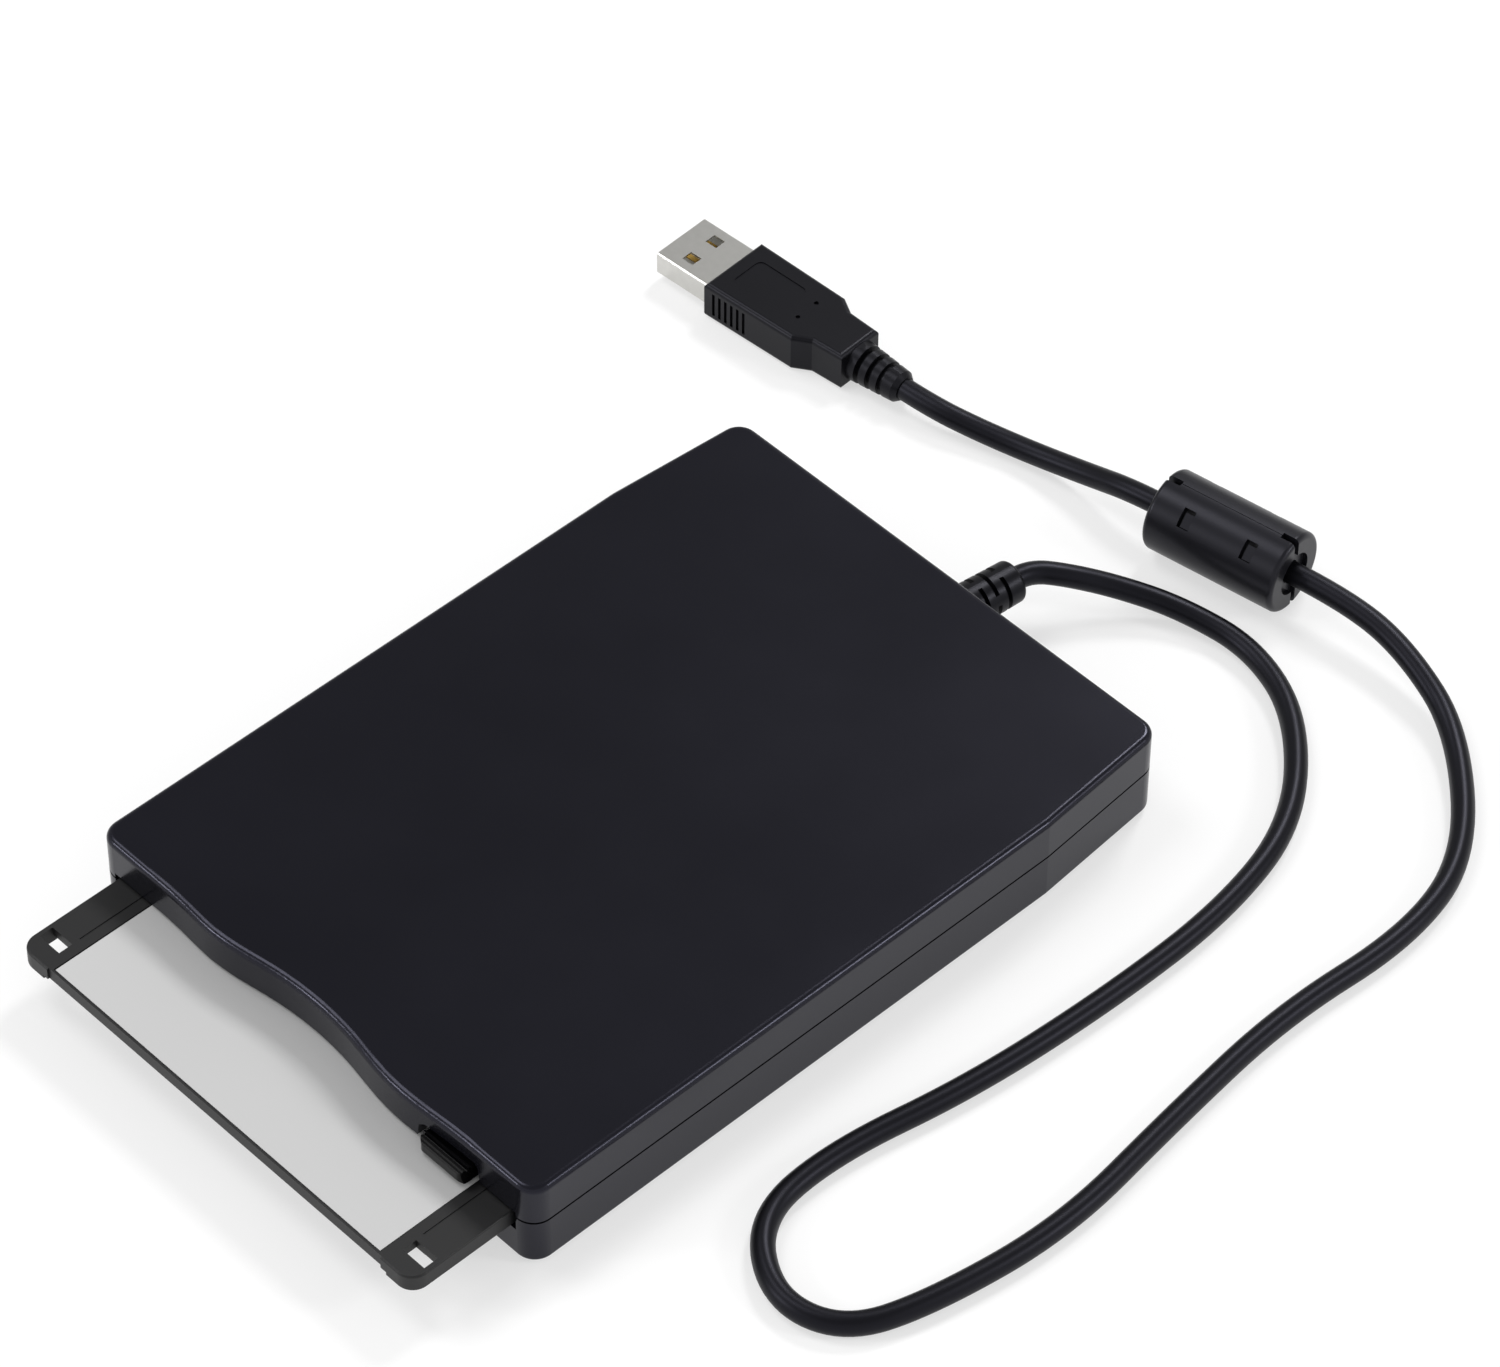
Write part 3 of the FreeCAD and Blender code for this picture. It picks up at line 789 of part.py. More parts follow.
save("media_disc", cut(cyl(0, Y_HUB, MID - 0.05, MID + 0.05, CHAMBER_R - 0.7),
                       cyl(0, Y_HUB, MID - 1.0, MID + 1.0, 12.0)))
hub = fuse(cyl(0, Y_HUB, Z_D0 + 0.35, Z_D0 + 0.65, 12.3),
           cut(cyl(0, Y_HUB, Z_D0 + 0.65, MID - 0.05, 12.3), cyl(0, Y_HUB, Z_D0 + 0.6, MID, 11.9)),
           cut(cyl(0, Y_HUB, MID - 0.35, MID - 0.05, 12.9), cyl(0, Y_HUB, MID - 0.4, MID, 11.9)))
save("media_hub", cut(hub, box(-2.0, 2.0, Y_HUB - 2.0, Y_HUB + 2.0, Z_D0 - 1.0, MID + 1.0),
                      round_box(8.2, 11.6, Y_HUB - 2.2, Y_HUB + 2.8, Z_D0 - 1.0, MID + 1.0, 0.6)))
tab = fuse(box(hole_x0 + 0.06, hole_x1 - 0.06, Y_HOLE1 + 0.75, Y_HOLE1 + 5.3, Z_D0 + 0.75, MID - 0.05),
           box(X_HOLE - 1.45, X_HOLE + 1.25, Y_HOLE1 + 1.3, Y_HOLE1 + 4.1, Z_D0 + 0.1, Z_D0 + 0.8))
save("write_protect_tab", tab)

# ---- cord boot and tail --------------------------------------------------------------------------
Y0 = YB
grip = fuse(cyl_y(BOOT_X, BOOT_Z, Y0 - 3.4, Y0 - BACK_T - 0.05, 4.6),
            cyl_y(BOOT_X, BOOT_Z, Y0 - BACK_T - 0.05, Y0 + 0.45, 3.25),
            cyl_y(BOOT_X, BOOT_Z, Y0, Y0 + 0.45, BOOT_R0 + 0.3))
sleeve = Part.makeCone(BOOT_R0, BOOT_R1, BOOT_L, V(BOOT_X, Y0, BOOT_Z), V(0, 1, 0))
sleeve = sleeve.makeFillet(0.8, [e for e in sleeve.Edges if abs(e.BoundBox.YMin - Y0 - BOOT_L) < 1e-4])
# four grooves, each broken by two bridges, the bridges a quarter turn apart from one to the next
for i in range(4):
    y = Y0 + 1.9 + 2.2 * i
    ring = cut(cyl_y(BOOT_X, BOOT_Z, y, y + 0.8, 6.0), cyl_y(BOOT_X, BOOT_Z, y - 1.0, y + 2.0, 2.75),
               box(BOOT_X - 7.0, BOOT_X + 7.0, y - 1.0, y + 2.0, BOOT_Z - 0.9, BOOT_Z + 0.9))
    ring.rotate(V(BOOT_X, 0, BOOT_Z), V(0, 1, 0), -24.0 if i % 2 == 0 else -89.0)
    sleeve = cut(sleeve, ring)
sleeve.rotate(V(BOOT_X, Y0, BOOT_Z), V(0, 0, 1), -BOOT_TILT)
sleeve = cut(sleeve, box(BOOT_X - 10.0, BOOT_X + 10.0, Y0 - 3.0, Y0, 0.0, H))
save("cord_boot", fuse(grip, sleeve))
boot_dir = FreeCAD.Rotation(V(0, 0, 1), -BOOT_TILT).multVec(V(0, 1, 0))
BOOT_END = V(BOOT_X, Y0, BOOT_Z) + boot_dir * BOOT_L


def tube(points, d):
    """Tube of straight runs joined by tangent arcs through the route points; returns its length too."""
    edges, radii, length, start = [], [], 0.0, points[0]
    for a, b, c in zip(points, points[1:], points[2:]):
        u, v = b - a, c - b
        k = 0.45 * min(u.Length, v.Length)
        u.normalize()
        v.normalize()
        turn = u.getAngle(v)
        r = k / math.tan(turn / 2)
        radii.append(round(r, 1))
        p1, p2 = b - u * k, b + v * k
        inward = v - u
        inward.normalize()
        crown = b + inward * (r / math.cos(turn / 2) - r)
        edges += [Part.makeLine(start, p1), Part.Arc(p1, crown, p2).toShape()]
        length += (p1 - start).Length + r * turn
        start = p2
    edges.append(Part.makeLine(start, points[-1]))
    length += (points[-1] - start).Length
    section = Part.Wire([Part.makeCircle(d / 2, points[0], points[1] - points[0])])
    print("length %.1f, smallest radius %.1f of" % (length, min(radii)), radii)
    return Part.Wire(edges).makePipeShell([section], True, False)


# the four wires of the cord, spread from its end to their connector
y_tail = Y0 - 5.8
tail = [cyl_y(BOOT_X, BOOT_Z, y_tail, Y0 - 3.4, CORD_D / 2)]
for i in range(4):
    x, z = BOOT_X - 1.2 + 0.8 * i, BOOT_Z + (0.6 if i % 2 else -0.6)
    x_end = USB_X1 - 6.9 + 1.6 * i
    route = [V(x, y_tail, z), V(x - 2.0, y_tail - 0.3, z), V(x - 9.0, y_tail + 1.0 + 0.25 * i, BOOT_Z - 0.4),
             V(x_end, y_tail + 0.6, Z_USB + 2.8), V(x_end, y_tail - 2.2, Z_USB + 2.0)]
    tail.append(tube(route, 0.7))
save("cord_tail", group(*tail))

# ---- cord, filter and plug on the table ----------------------------------------------------------


def heading(angle):
    return V(math.cos(math.radians(angle)), math.sin(math.radians(angle)), 0)


fd, pd = heading(FILTER_TURN), heading(PLUG_TURN)
F_LEFT = V(7.29, 110.37, FILTER_D / 2 + 0.05)        # ends of the filter
F_RIGHT = F_LEFT + fd * FILTER_L
P_END = V(-43.9, 101.35, PLUG_T / 2 + 0.05)          # where the cord meets the plug's relief
ZC = CORD_D / 2 + 0.01                               # cord lying on the table
ROUTE_LONG = [BOOT_END, BOOT_END + boot_dir * 3.2, BOOT_END + V(4.18, 7.46, -0.9),
              BOOT_END + V(10.18, 13.76, -3.6), BOOT_END + V(18.98, 19.56, -6.1)]
ROUTE_LONG += [V(x, y, ZC) for x, y in (
    (36.0, 101.6), (51.2, 95.6), (66.1, 78.9), (71.3, 57.8), (71.6, 32.3), (69.6, 4.3), (64.5, -20.2),
    (65.8, -37.1), (78.1, -45.8), (89.9, -42.4), (94.9, -28.9), (98.3, -4.9), (94.8, 21.8), (92.1, 48.6),
    (94.5, 74.6), (89.4, 93.5))]
ROUTE_LONG += [V(70.9, 111.6, 2.6), V(55.7, 116.2, 5.6), F_RIGHT + fd * 11.2, F_RIGHT]
ROUTE_SHORT = [F_LEFT, F_LEFT - fd * 6.3, V(-8.6, 108.9, 4.2), V(-19.8, 107.2, 2.3), V(-29.4, 104.4, 2.6),
               P_END + pd * 6.4, P_END]
save("cord_main", tube(ROUTE_LONG, CORD_D))
save("cord_end", tube(ROUTE_SHORT, CORD_D))
save("cord_through_filter", Part.makeCylinder(CORD_D / 2, FILTER_L, F_LEFT, fd))

# filter, drawn along X from its left end with its axis on X, then turned and moved;
# two snapped halves, front (-Y) and back (+Y), round a ferrite sleeve
FL, FR = FILTER_L, FILTER_D / 2
case = cyl_x(0, 0, 0, FL, FR)
case = case.makeFillet(0.9, [e for e in case.Edges if e.BoundBox.XLength < 1e-6])
case = cut(case, cyl_x(0, 0, FILTER_WALL, FL - FILTER_WALL, FR - FILTER_WALL),
           cyl_x(0, 0, -1.0, FL + 1.0, CORD_D / 2 + 0.1))
for x0, x1 in ((-1.0, 0.9), (FL - 0.9, FL + 1.0)):
    # recess round the cord and the open joint above and below it
    case = cut(case, cyl_x(0, 0, x0, x1, 3.8), box(x0, x1, -0.6, 0.6, -FR - 1.0, FR + 1.0))
for x0, x1 in ((-1.0, 2.9), (FL - 2.9, FL + 1.0)):
    case = cut(case, box(x0, x1, -0.6, 0.6, FR - FILTER_WALL - 0.3, FR + 1.0))
halves = {"front": [case.common(box(-1.0, FL + 1.0, -9.0, -0.05, -9.0, 9.0))],
          "back": [case.common(box(-1.0, FL + 1.0, 0.05, 9.0, -9.0, 9.0))]}
# windows of each half, with the snap tabs of the other half behind them
SNAPS = (("front", "back", 42.0, (7.0, 19.0)), ("back", "front", -57.0, (6.2, 17.8)))
for side, other, turn, places in SNAPS:
    for x in places:
        window = box(x - 1.1, x + 1.1, -1.7, 1.7, FR - FILTER_WALL - 0.3, FR + 1.0)
        tab = box(x - 0.5, x + 1.1, -1.55, 1.0, FR - FILTER_WALL, FR - 0.25)
        window.rotate(V(0, 0, 0), V(1, 0, 0), turn)
        tab.rotate(V(0, 0, 0), V(1, 0, 0), turn)
        halves[side][0] = cut(halves[side][0], window)
        halves[other].append(tab)


def laid(shape, angle, place):
    """A piece drawn along X, turned to its heading and moved to its place on the table."""
    return shape.rotated(V(0, 0, 0), V(0, 0, 1), angle).translated(place)


save("filter_case_front", laid(group(*halves["front"]), FILTER_TURN, F_LEFT))
save("filter_case_back", laid(group(*halves["back"]), FILTER_TURN, F_LEFT))
ferrite = cut(cyl_x(0, 0, FILTER_WALL + 0.2, FL - FILTER_WALL - 0.2, FR - FILTER_WALL - 0.15),
              cyl_x(0, 0, 0, FL, CORD_D / 2 + 0.15))
save("filter_core", laid(ferrite, FILTER_TURN, F_LEFT))

# plug, drawn with its front face at X = 0, shell towards -X, relief towards +X, middle height Z = 0
PW, PT = PLUG_W / 2, PLUG_T / 2
body = [(0.0, PW), (19.5, PW - 0.35), (22.6, 4.9), (29.0, 4.6)]
body = prism([(x, -y) for x, y in body] + body[::-1], -PT, PT)
body = body.makeFillet(0.9, edges_at_z(body, PT) + edges_at_z(body, -PT))
for x in [1.8 + 1.35 * i for i in range(6)]:   # grip grooves in the flanks
    body = cut(body, cut(box(x, x + 0.6, -PW - 1.0, PW + 1.0, -2.4, 2.4),
                         box(x - 0.1, x + 0.7, -PW + 0.55, PW - 0.55, -2.5, 2.5)))
for y in (-2.3, 2.3):
    body = cut(body, cyl(17.0, y, PT - 0.4, PT + 1.0, 0.42))
# shallow plain bed on top where a mark would sit
body = cut(body, round_box(3.0, 14.0, -3.6, 3.6, PT - 0.15, PT + 1.0, 1.2),
           box(-1.0, 14.0, -6.0, 6.0, -2.25, 2.25))
shell = box(-12.0, 13.6, -6.0, 6.0, -2.25, 2.25)
shell = shell.makeFillet(0.4, [e for e in shell.Edges if along_x(e)])
shell = cut(shell, box(-13.0, 13.0, -5.7, 5.7, -1.95, 1.95))
for y in (-2.9, 2.9):
    shell = cut(shell, box(-8.0, -5.6, y - 1.1, y + 1.1, -3.0, 3.0))
tongue = fuse(box(-11.6, 12.8, -5.6, 5.6, -1.9, -0.1), box(4.0, 12.8, -5.6, 5.6, -1.9, 1.9))
contacts = [box(x, 4.0, y - 0.5, y + 0.5, -0.1, 0.12) for x, y in (
    (-11.2, -3.5), (-10.2, -1.0), (-10.2, 1.0), (-11.2, 3.5))]
relief = fuse(Part.makeCone(3.7, 2.9, 9.2, V(29.0, 0, 0), V(1, 0, 0)),
              Part.makeCone(2.9, 2.2, 0.9, V(38.2, 0, 0), V(1, 0, 0)))
for i in range(3):
    x = 30.6 + i * 2.35
    relief = cut(relief, cut(cyl_x(0, 0, x, x + 1.0, 5.0), cyl_x(0, 0, x - 1.0, x + 2.0, 2.45)))
for z in (-4.2, 4.2):
    relief = cut(relief, box(28.0, 40.0, -6.0, 6.0, z - 0.6, z + 0.6))
P_FRONT = P_END - pd * 39.1
for name, piece in (("plug_overmould", body), ("plug_shell", shell), ("plug_tongue", tongue),
                    ("plug_contacts", group(*contacts)), ("plug_boot", relief)):
    save(name, laid(piece, PLUG_TURN, P_FRONT))
print("nodes", len(NODES), "W %.2f L %.2f H %.2f" % (2 * HW, L, H))
print("Y_SPIN %.3f Y_HUB %.3f Y_HEAD %.3f Y_BLOCK0 %.3f" % (Y_SPIN, Y_HUB, Y_HEAD, Y_BLOCK0))
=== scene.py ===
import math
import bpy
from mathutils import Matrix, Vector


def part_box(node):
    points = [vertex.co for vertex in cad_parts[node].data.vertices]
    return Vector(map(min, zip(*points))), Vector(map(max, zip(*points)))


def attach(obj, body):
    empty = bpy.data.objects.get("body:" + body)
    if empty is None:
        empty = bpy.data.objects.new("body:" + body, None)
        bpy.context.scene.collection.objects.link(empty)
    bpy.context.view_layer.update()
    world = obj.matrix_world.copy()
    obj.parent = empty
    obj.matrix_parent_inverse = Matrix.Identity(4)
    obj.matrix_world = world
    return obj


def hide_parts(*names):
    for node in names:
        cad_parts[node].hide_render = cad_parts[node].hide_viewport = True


bl_info = {
    "name": "External Diskette Drive",
    "version": (1, 0, 0),
    "blender": (4, 5, 0),
    "location": "3D View > Sidebar > Diskette Drive",
    "description": "Finishes, cord and studio for a slim external diskette drive",
    "category": "Object",
}

import bpy
from mathutils import Matrix, Vector

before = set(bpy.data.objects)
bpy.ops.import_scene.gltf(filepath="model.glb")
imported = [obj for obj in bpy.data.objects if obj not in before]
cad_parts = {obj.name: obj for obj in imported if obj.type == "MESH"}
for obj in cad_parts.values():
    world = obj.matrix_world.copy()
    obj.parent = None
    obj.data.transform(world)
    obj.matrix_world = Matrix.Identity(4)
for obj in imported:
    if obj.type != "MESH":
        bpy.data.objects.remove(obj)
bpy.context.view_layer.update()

# ---- sizes and places, in millimetres unless said otherwise -----------------------
MM = 0.001
HOUSING_Y = 9.9            # middle of the housing, measured from the frame's origin
SEAM_Z = 9.69              # height of the parting line between the two covers
SEAM_SHADE = 0.19          # half the width of the painted shade along it
CORD_D = 3.9
ON_TABLE = 1.96            # height of the centre line of a cord that lies on the table
COPPER = 0.035             # thickness of the tracks under the solder mask
CONDUCTOR_PITCH = 1.974    # from line to line on the flat cable, as drawn

# Long cord, from the boot on the housing round the loop to the filter
LONG_ROUTE = [
    (3.22, 79.44, 9.0), (3.53, 82.62, 9.0), (7.4, 86.9, 8.1), (13.4, 93.2, 5.4),
    (22.2, 99.0, 2.9), (36.0, 101.6, ON_TABLE), (51.2, 95.6, ON_TABLE),
    (66.1, 78.9, ON_TABLE), (71.3, 57.8, ON_TABLE), (71.6, 32.3, ON_TABLE),
    (69.6, 4.3, ON_TABLE), (64.5, -20.2, ON_TABLE), (65.8, -37.1, ON_TABLE),
    (78.1, -45.8, ON_TABLE), (89.9, -42.4, ON_TABLE), (94.9, -28.9, ON_TABLE),
    (98.3, -4.9, ON_TABLE), (94.8, 21.8, ON_TABLE), (92.1, 48.6, ON_TABLE),
    (94.5, 74.6, ON_TABLE), (89.4, 93.5, ON_TABLE), (70.9, 111.6, 2.6),
    (55.7, 116.2, 5.6), (43.159, 116.566, 7.2), (32.122, 114.659, 7.2),
]
# Short cord, from the other end of the filter to the boot of the plug
SHORT_ROUTE = [
    (7.29, 110.37, 7.2), (1.082, 109.298, 7.2), (-8.6, 108.9, 4.2), (-19.8, 107.2, 2.3),
    (-29.4, 104.4, 2.6), (-37.512, 101.741, 3.8), (-43.9, 101.35, 3.8),
]

# The three springs
TURN_POINTS = 16           # points of the wire to one turn
EJECT_ENDS = (5.4, 2.0)    # straight wire before and after the turns of the eject spring
EJECT_BENDS = (1.2, 0.6)   # wire between each straight end and the turns
CLOSE_PITCH = 1.15         # from turn to turn, in thicknesses of the wire
ARM_COIL_R = 1.45
ARM_COIL_INSET = 0.3       # from each end of the node to the first and the last turn
ARM_TURNS = 10.25
ARM_LEG_INSET = 0.2        # from the side of the node to the leg over the arm
ARM_LEG = (                # the leg's points: along the arm, and above the node's top
    (1.5, -0.1), (0.0, 0.05))
SHUTTER_TURNS = 2

# The lead screw
JOURNAL_R = 0.6            # the plain end that turns in the bracket
JOURNAL_L = 1.2
GROOVE_START = 0.4         # from the journal's shoulder to the groove
GROOVE_END = 7.0           # length without a groove at the motor's end
SCREW_ROW = 0.25           # length of one row of faces
SCREW_SIDES = 32
SCREW_SHARP = 50           # degrees: edges steeper than this stay sharp

# The camera: heading and height in degrees, what it looks at, how far off it stands
CAMERA_HEADING = 46.1107
CAMERA_HEIGHT = 46.6515
CAMERA_ROLL = 0.4571
CAMERA_TARGET = (-15.308, 38.683, 0.0)
CAMERA_DISTANCE = 1058.739
FOCAL_PIXELS = 6612.64     # focal length for a picture 1500 pixels wide
PICTURE_WIDTH = 1500
SENSOR = 36.0

# The studio: how much of the white table is its own light, and the sky's two tones
LIT_SHARE = 0.57
TABLE_HALF = 6.0           # half the side of the table, in metres
HORIZON = 0.95
ZENITH = 0.45
SKY_TURN = (0.5, 0.78)     # heights between which one tone turns to the other, as sines
FAR_SIDE = 0.5             # share of the sky's light that is left on the far left side
SIDE_TURN = (-1.1, 0.4)    # between these, along x less y, that share grows to the whole
# Each lamp: its name, its place and its side in metres, and the setting for its power
LAMPS = (
    ("key_lamp", (-0.30, 1.05, 1.15), 0.35, "key"),
    ("side_lamp", (-0.73, -0.20, 1.41), 0.6, "side"),
    ("front_edge_lamp", (-0.742, -1.099, 0.704), 0.25, "edge"),
    ("back_edge_lamp", (1.09, 0.714, 0.75), 0.25, "edge"),
)

# Finishes
PLASTIC_IOR = 1.5
CLOUD_RANGE = (0.3, 0.7)   # the part of the cloud's noise that the gloss follows
GLOSS_SWING = 0.015        # how far the roughness strays to each side
WAVE_UNIT = math.tau / 20  # the wave node's scale for waves one unit long
# Sockets of the Mix node when it mixes colours: three that go in, one that comes out
FACTOR, FIRST, SECOND, MIXED = 0, 6, 7, 2


def in_frame(points):
    """Route points in metres, in the frame."""
    return [Vector((x, y + HOUSING_Y, z)) * MM for x, y, z in points]


def linear(hex_colour):
    """sRGB hex to a linear colour with alpha."""
    parts = [int(hex_colour[i:i + 2], 16) / 255 for i in (1, 3, 5)]
    return tuple(c / 12.92 if c <= 0.04045 else ((c + 0.055) / 1.055) ** 2.4
                 for c in parts) + (1.0,)


def add(tree, kind, props=None, inputs=None):
    """A node with its properties set and its inputs linked or filled."""
    node = tree.nodes.new(kind)
    for name, value in (props or {}).items():
        setattr(node, name, value)
    for name, value in (inputs or {}).items():
        socket = node.inputs[name]
        if isinstance(value, bpy.types.NodeSocket):
            tree.links.new(value, socket)
        else:
            socket.default_value = value
    return node


def start(name):
    """An empty material, its tree, its shader and object coordinates in metres."""
    material = bpy.data.materials.new(name)
    material.use_nodes = True
    tree = material.node_tree
    tree.nodes.clear()
    out = add(tree, "ShaderNodeOutputMaterial")
    shader = add(tree, "ShaderNodeBsdfPrincipled")
    tree.links.new(shader.outputs[0], out.inputs["Surface"])
    where = add(tree, "ShaderNodeTexCoord").outputs["Object"]
    return material, tree, shader, where


def per_metre(size_mm):
    """Texture scale that makes one cell of a pattern this many millimetres."""
    return 1.0 / (size_mm * MM)


# ---- materials --------------------------------------------------------------------
# Moulded and eroded surfaces really have grains of 0.05 to 0.1 mm. Those are too fine
# to show in the render, so they are drawn coarse, 0.2 to 0.5 mm wide.
def moulded(name, dark, light, roughness, grain_mm, depth_mm, cloud_mm=30.0,
            tint="#ffffff", shine=0.5):
    """Moulded plastic: a grain from the mould, and a faint cloud of handling over it."""
    material, tree, shader, where = start(name)
    cloud = add(tree, "ShaderNodeTexNoise", inputs={
        "Vector": where, "Scale": per_metre(cloud_mm), "Detail": 3.0})
    grain = add(tree, "ShaderNodeTexNoise", inputs={
        "Vector": where, "Scale": per_metre(grain_mm), "Detail": 2.0})
    tone = add(tree, "ShaderNodeMix", {"data_type": "RGBA"}, {
        FACTOR: cloud.outputs["Fac"], FIRST: linear(dark), SECOND: linear(light)})
    gloss = add(tree, "ShaderNodeMapRange", inputs={
        "Value": cloud.outputs["Fac"],
        "From Min": CLOUD_RANGE[0], "From Max": CLOUD_RANGE[1],
        "To Min": roughness - GLOSS_SWING, "To Max": roughness + GLOSS_SWING})
    bump = add(tree, "ShaderNodeBump", inputs={
        "Height": grain.outputs["Fac"], "Distance": depth_mm * MM, "Strength": 1.0})
    tree.links.new(tone.outputs[MIXED], shader.inputs["Base Color"])
    tree.links.new(gloss.outputs["Result"], shader.inputs["Roughness"])
    tree.links.new(bump.outputs["Normal"], shader.inputs["Normal"])
    shader.inputs["IOR"].default_value = PLASTIC_IOR
    shader.inputs["Specular Tint"].default_value = linear(tint)
    shader.inputs["Specular IOR Level"].default_value = shine
    return material


def abs_spark_eroded(look):
    # ABS moulded in a spark-eroded tool: near black, with an even satin grain, drawn coarse
    return moulded("abs_spark_eroded_black", look.dark, look.light, look.roughness,
                   grain_mm=0.35, depth_mm=0.002, tint="#e2e2ff", shine=0.3)


def painted_seam_shade(material):
    # The parting line of the covers: painted shade, near black and without shine, in a band at
    # the seam's height where its rounded edges lie in shadow
    tree = material.node_tree
    shader = tree.nodes["Principled BSDF"]
    colour, shine = shader.inputs["Base Color"], shader.inputs["Specular IOR Level"]
    height = add(tree, "ShaderNodeSeparateXYZ", inputs={
        "Vector": tree.nodes["Texture Coordinate"].outputs["Object"]})
    edge = add(tree, "ShaderNodeMath", {"operation": "COMPARE"}, {
        0: height.outputs["Z"], 1: SEAM_Z * MM, 2: SEAM_SHADE * MM})
    # Painted shade: in the band the covers' colour turns near black and their shine drops to
    # nothing
    tone = add(tree, "ShaderNodeMix", {"data_type": "RGBA"}, {
        FACTOR: edge.outputs[0], FIRST: colour.links[0].from_socket,
        SECOND: linear("#020203")})
    dull = add(tree, "ShaderNodeMapRange", inputs={
        "Value": edge.outputs[0], "To Min": shine.default_value, "To Max": 0.0})
    tree.links.new(tone.outputs[MIXED], colour)
    tree.links.new(dull.outputs["Result"], shine)
    return material


def abs_clip():
    # ABS case of the filter, moulded satin: near black, its grain drawn coarse
    return moulded("abs_moulded_clip", "#111114", "#151519", 0.34,
                   grain_mm=0.35, depth_mm=0.003, tint="#eeeeff", shine=0.25)


def abs_polished():
    # ABS from a polished tool: black and smooth, it mirrors the lamps dimly
    return moulded("abs_polished_black", "#030304", "#060607", 0.14,
                   grain_mm=0.8, depth_mm=0.001, shine=0.22)


def hips_diskette():
    # High-impact polystyrene, moulded matte: charcoal, its fine grain drawn coarse
    return moulded("polystyrene_moulded_charcoal", "#131314", "#171718", 0.46,
                   grain_mm=0.25, depth_mm=0.008, shine=0.36)


def pvc_extruded():
    # PVC jacket pulled through a die: satin black with faint waves from the die
    return moulded("pvc_extruded_black", "#040405", "#070708", 0.4,
                   grain_mm=1.2, depth_mm=0.004, tint="#e6e6ff", shine=0.22)


def pvc_moulded():
    # PVC moulded over the cord: soft black, duller than the jacket, its grain drawn coarse
    return moulded("pvc_moulded_black", "#060608", "#09090b", 0.36,
                   grain_mm=0.3, depth_mm=0.006, tint="#eeeeff", shine=0.2)


def paper_coated():
    # Coated paper label: pale grey and nearly smooth, its fibres drawn coarse
    return moulded("paper_coated_grey", "#bdbdbd", "#c2c2c2", 0.35,
                   grain_mm=0.4, depth_mm=0.002, cloud_mm=60.0)


def rubber_moulded():
    # Silicone rubber, moulded: dull black, its grain drawn coarse
    return moulded("rubber_moulded_black", "#141414", "#1b1b1b", 0.75,
                   grain_mm=0.3, depth_mm=0.01)


def epoxy_diffused():
    # Epoxy lens of the light, cast with a diffuser: milky green
    return moulded("epoxy_diffused_green", "#2f6b3a", "#3a7a45", 0.3,
                   grain_mm=0.3, depth_mm=0.002)


def ferrite_sintered():
    # Ferrite, pressed and sintered: dark grey, stony, its grains drawn coarse
    return moulded("ferrite_sintered", "#232326", "#303034", 0.6,
                   grain_mm=0.3, depth_mm=0.02)


def epoxy_moulded():
    # Black epoxy, transfer moulded round a chip: matte and even
    return moulded("epoxy_moulded_black", "#1a1a1b", "#222224", 0.6,
                   grain_mm=0.2, depth_mm=0.005)


def nylon_ivory():
    # Nylon, moulded without pigment: ivory, a little waxy
    return moulded("nylon_moulded_ivory", "#cdc5ad", "#d9d2bd", 0.45,
                   grain_mm=0.5, depth_mm=0.003)


def pbt_white():
    # PBT, moulded white: the insulator inside the plug
    return moulded("pbt_moulded_white", "#d9d9d4", "#e4e4e0", 0.42,
                   grain_mm=0.5, depth_mm=0.003)


def nylon_glass_filled():
    # Glass-filled nylon, moulded: dark grey with a dry surface, its fibres drawn coarse
    return moulded("nylon_glass_filled", "#2b2b2e", "#37373b", 0.55,
                   grain_mm=0.3, depth_mm=0.01)


def polyester_fleece():
    # Non-woven polyester, the liner that wipes the disc: white, its fibres drawn coarse
    return moulded("polyester_fleece_white", "#c9c9c9", "#e2e2e2", 0.9,
                   grain_mm=0.4, depth_mm=0.06)


def polyester_film_coated():
    # Polyester film coated with oxide and burnished: brown-black and glossy
    return moulded("polyester_film_oxide", "#1d1612", "#251d18", 0.2,
                   grain_mm=4.0, depth_mm=0.001)


def alumina_lapped():
    # Alumina ceramic, lapped: warm grey and smooth
    return moulded("alumina_lapped", "#8d867c", "#9c958b", 0.25,
                   grain_mm=0.4, depth_mm=0.001)


def metal(name, dark, light, roughness, stretch, grain_mm, depth_mm):
    """Metal with a grain that brushing, turning or winding may pack along an axis."""
    material, tree, shader, where = start(name)
    drawn = add(tree, "ShaderNodeMapping", inputs={"Vector": where, "Scale": stretch})
    grain = add(tree, "ShaderNodeTexNoise", inputs={
        "Vector": drawn.outputs["Vector"], "Scale": per_metre(grain_mm), "Detail": 4.0})
    tone = add(tree, "ShaderNodeMix", {"data_type": "RGBA"}, {
        FACTOR: grain.outputs["Fac"], FIRST: linear(dark), SECOND: linear(light)})
    bump = add(tree, "ShaderNodeBump", inputs={
        "Height": grain.outputs["Fac"], "Distance": depth_mm * MM, "Strength": 1.0})
    tree.links.new(tone.outputs[MIXED], shader.inputs["Base Color"])
    tree.links.new(bump.outputs["Normal"], shader.inputs["Normal"])
    shader.inputs["Metallic"].default_value = 1.0
    shader.inputs["Roughness"].default_value = roughness
    return material


def steel_zinc_plated():
    # Steel sheet, stamped and zinc plated: grey with a soft cloudy spangle
    return metal("steel_zinc_plated", "#9c9fa3", "#b9bcc0", 0.38, (1, 1, 1), 3.0, 0.004)


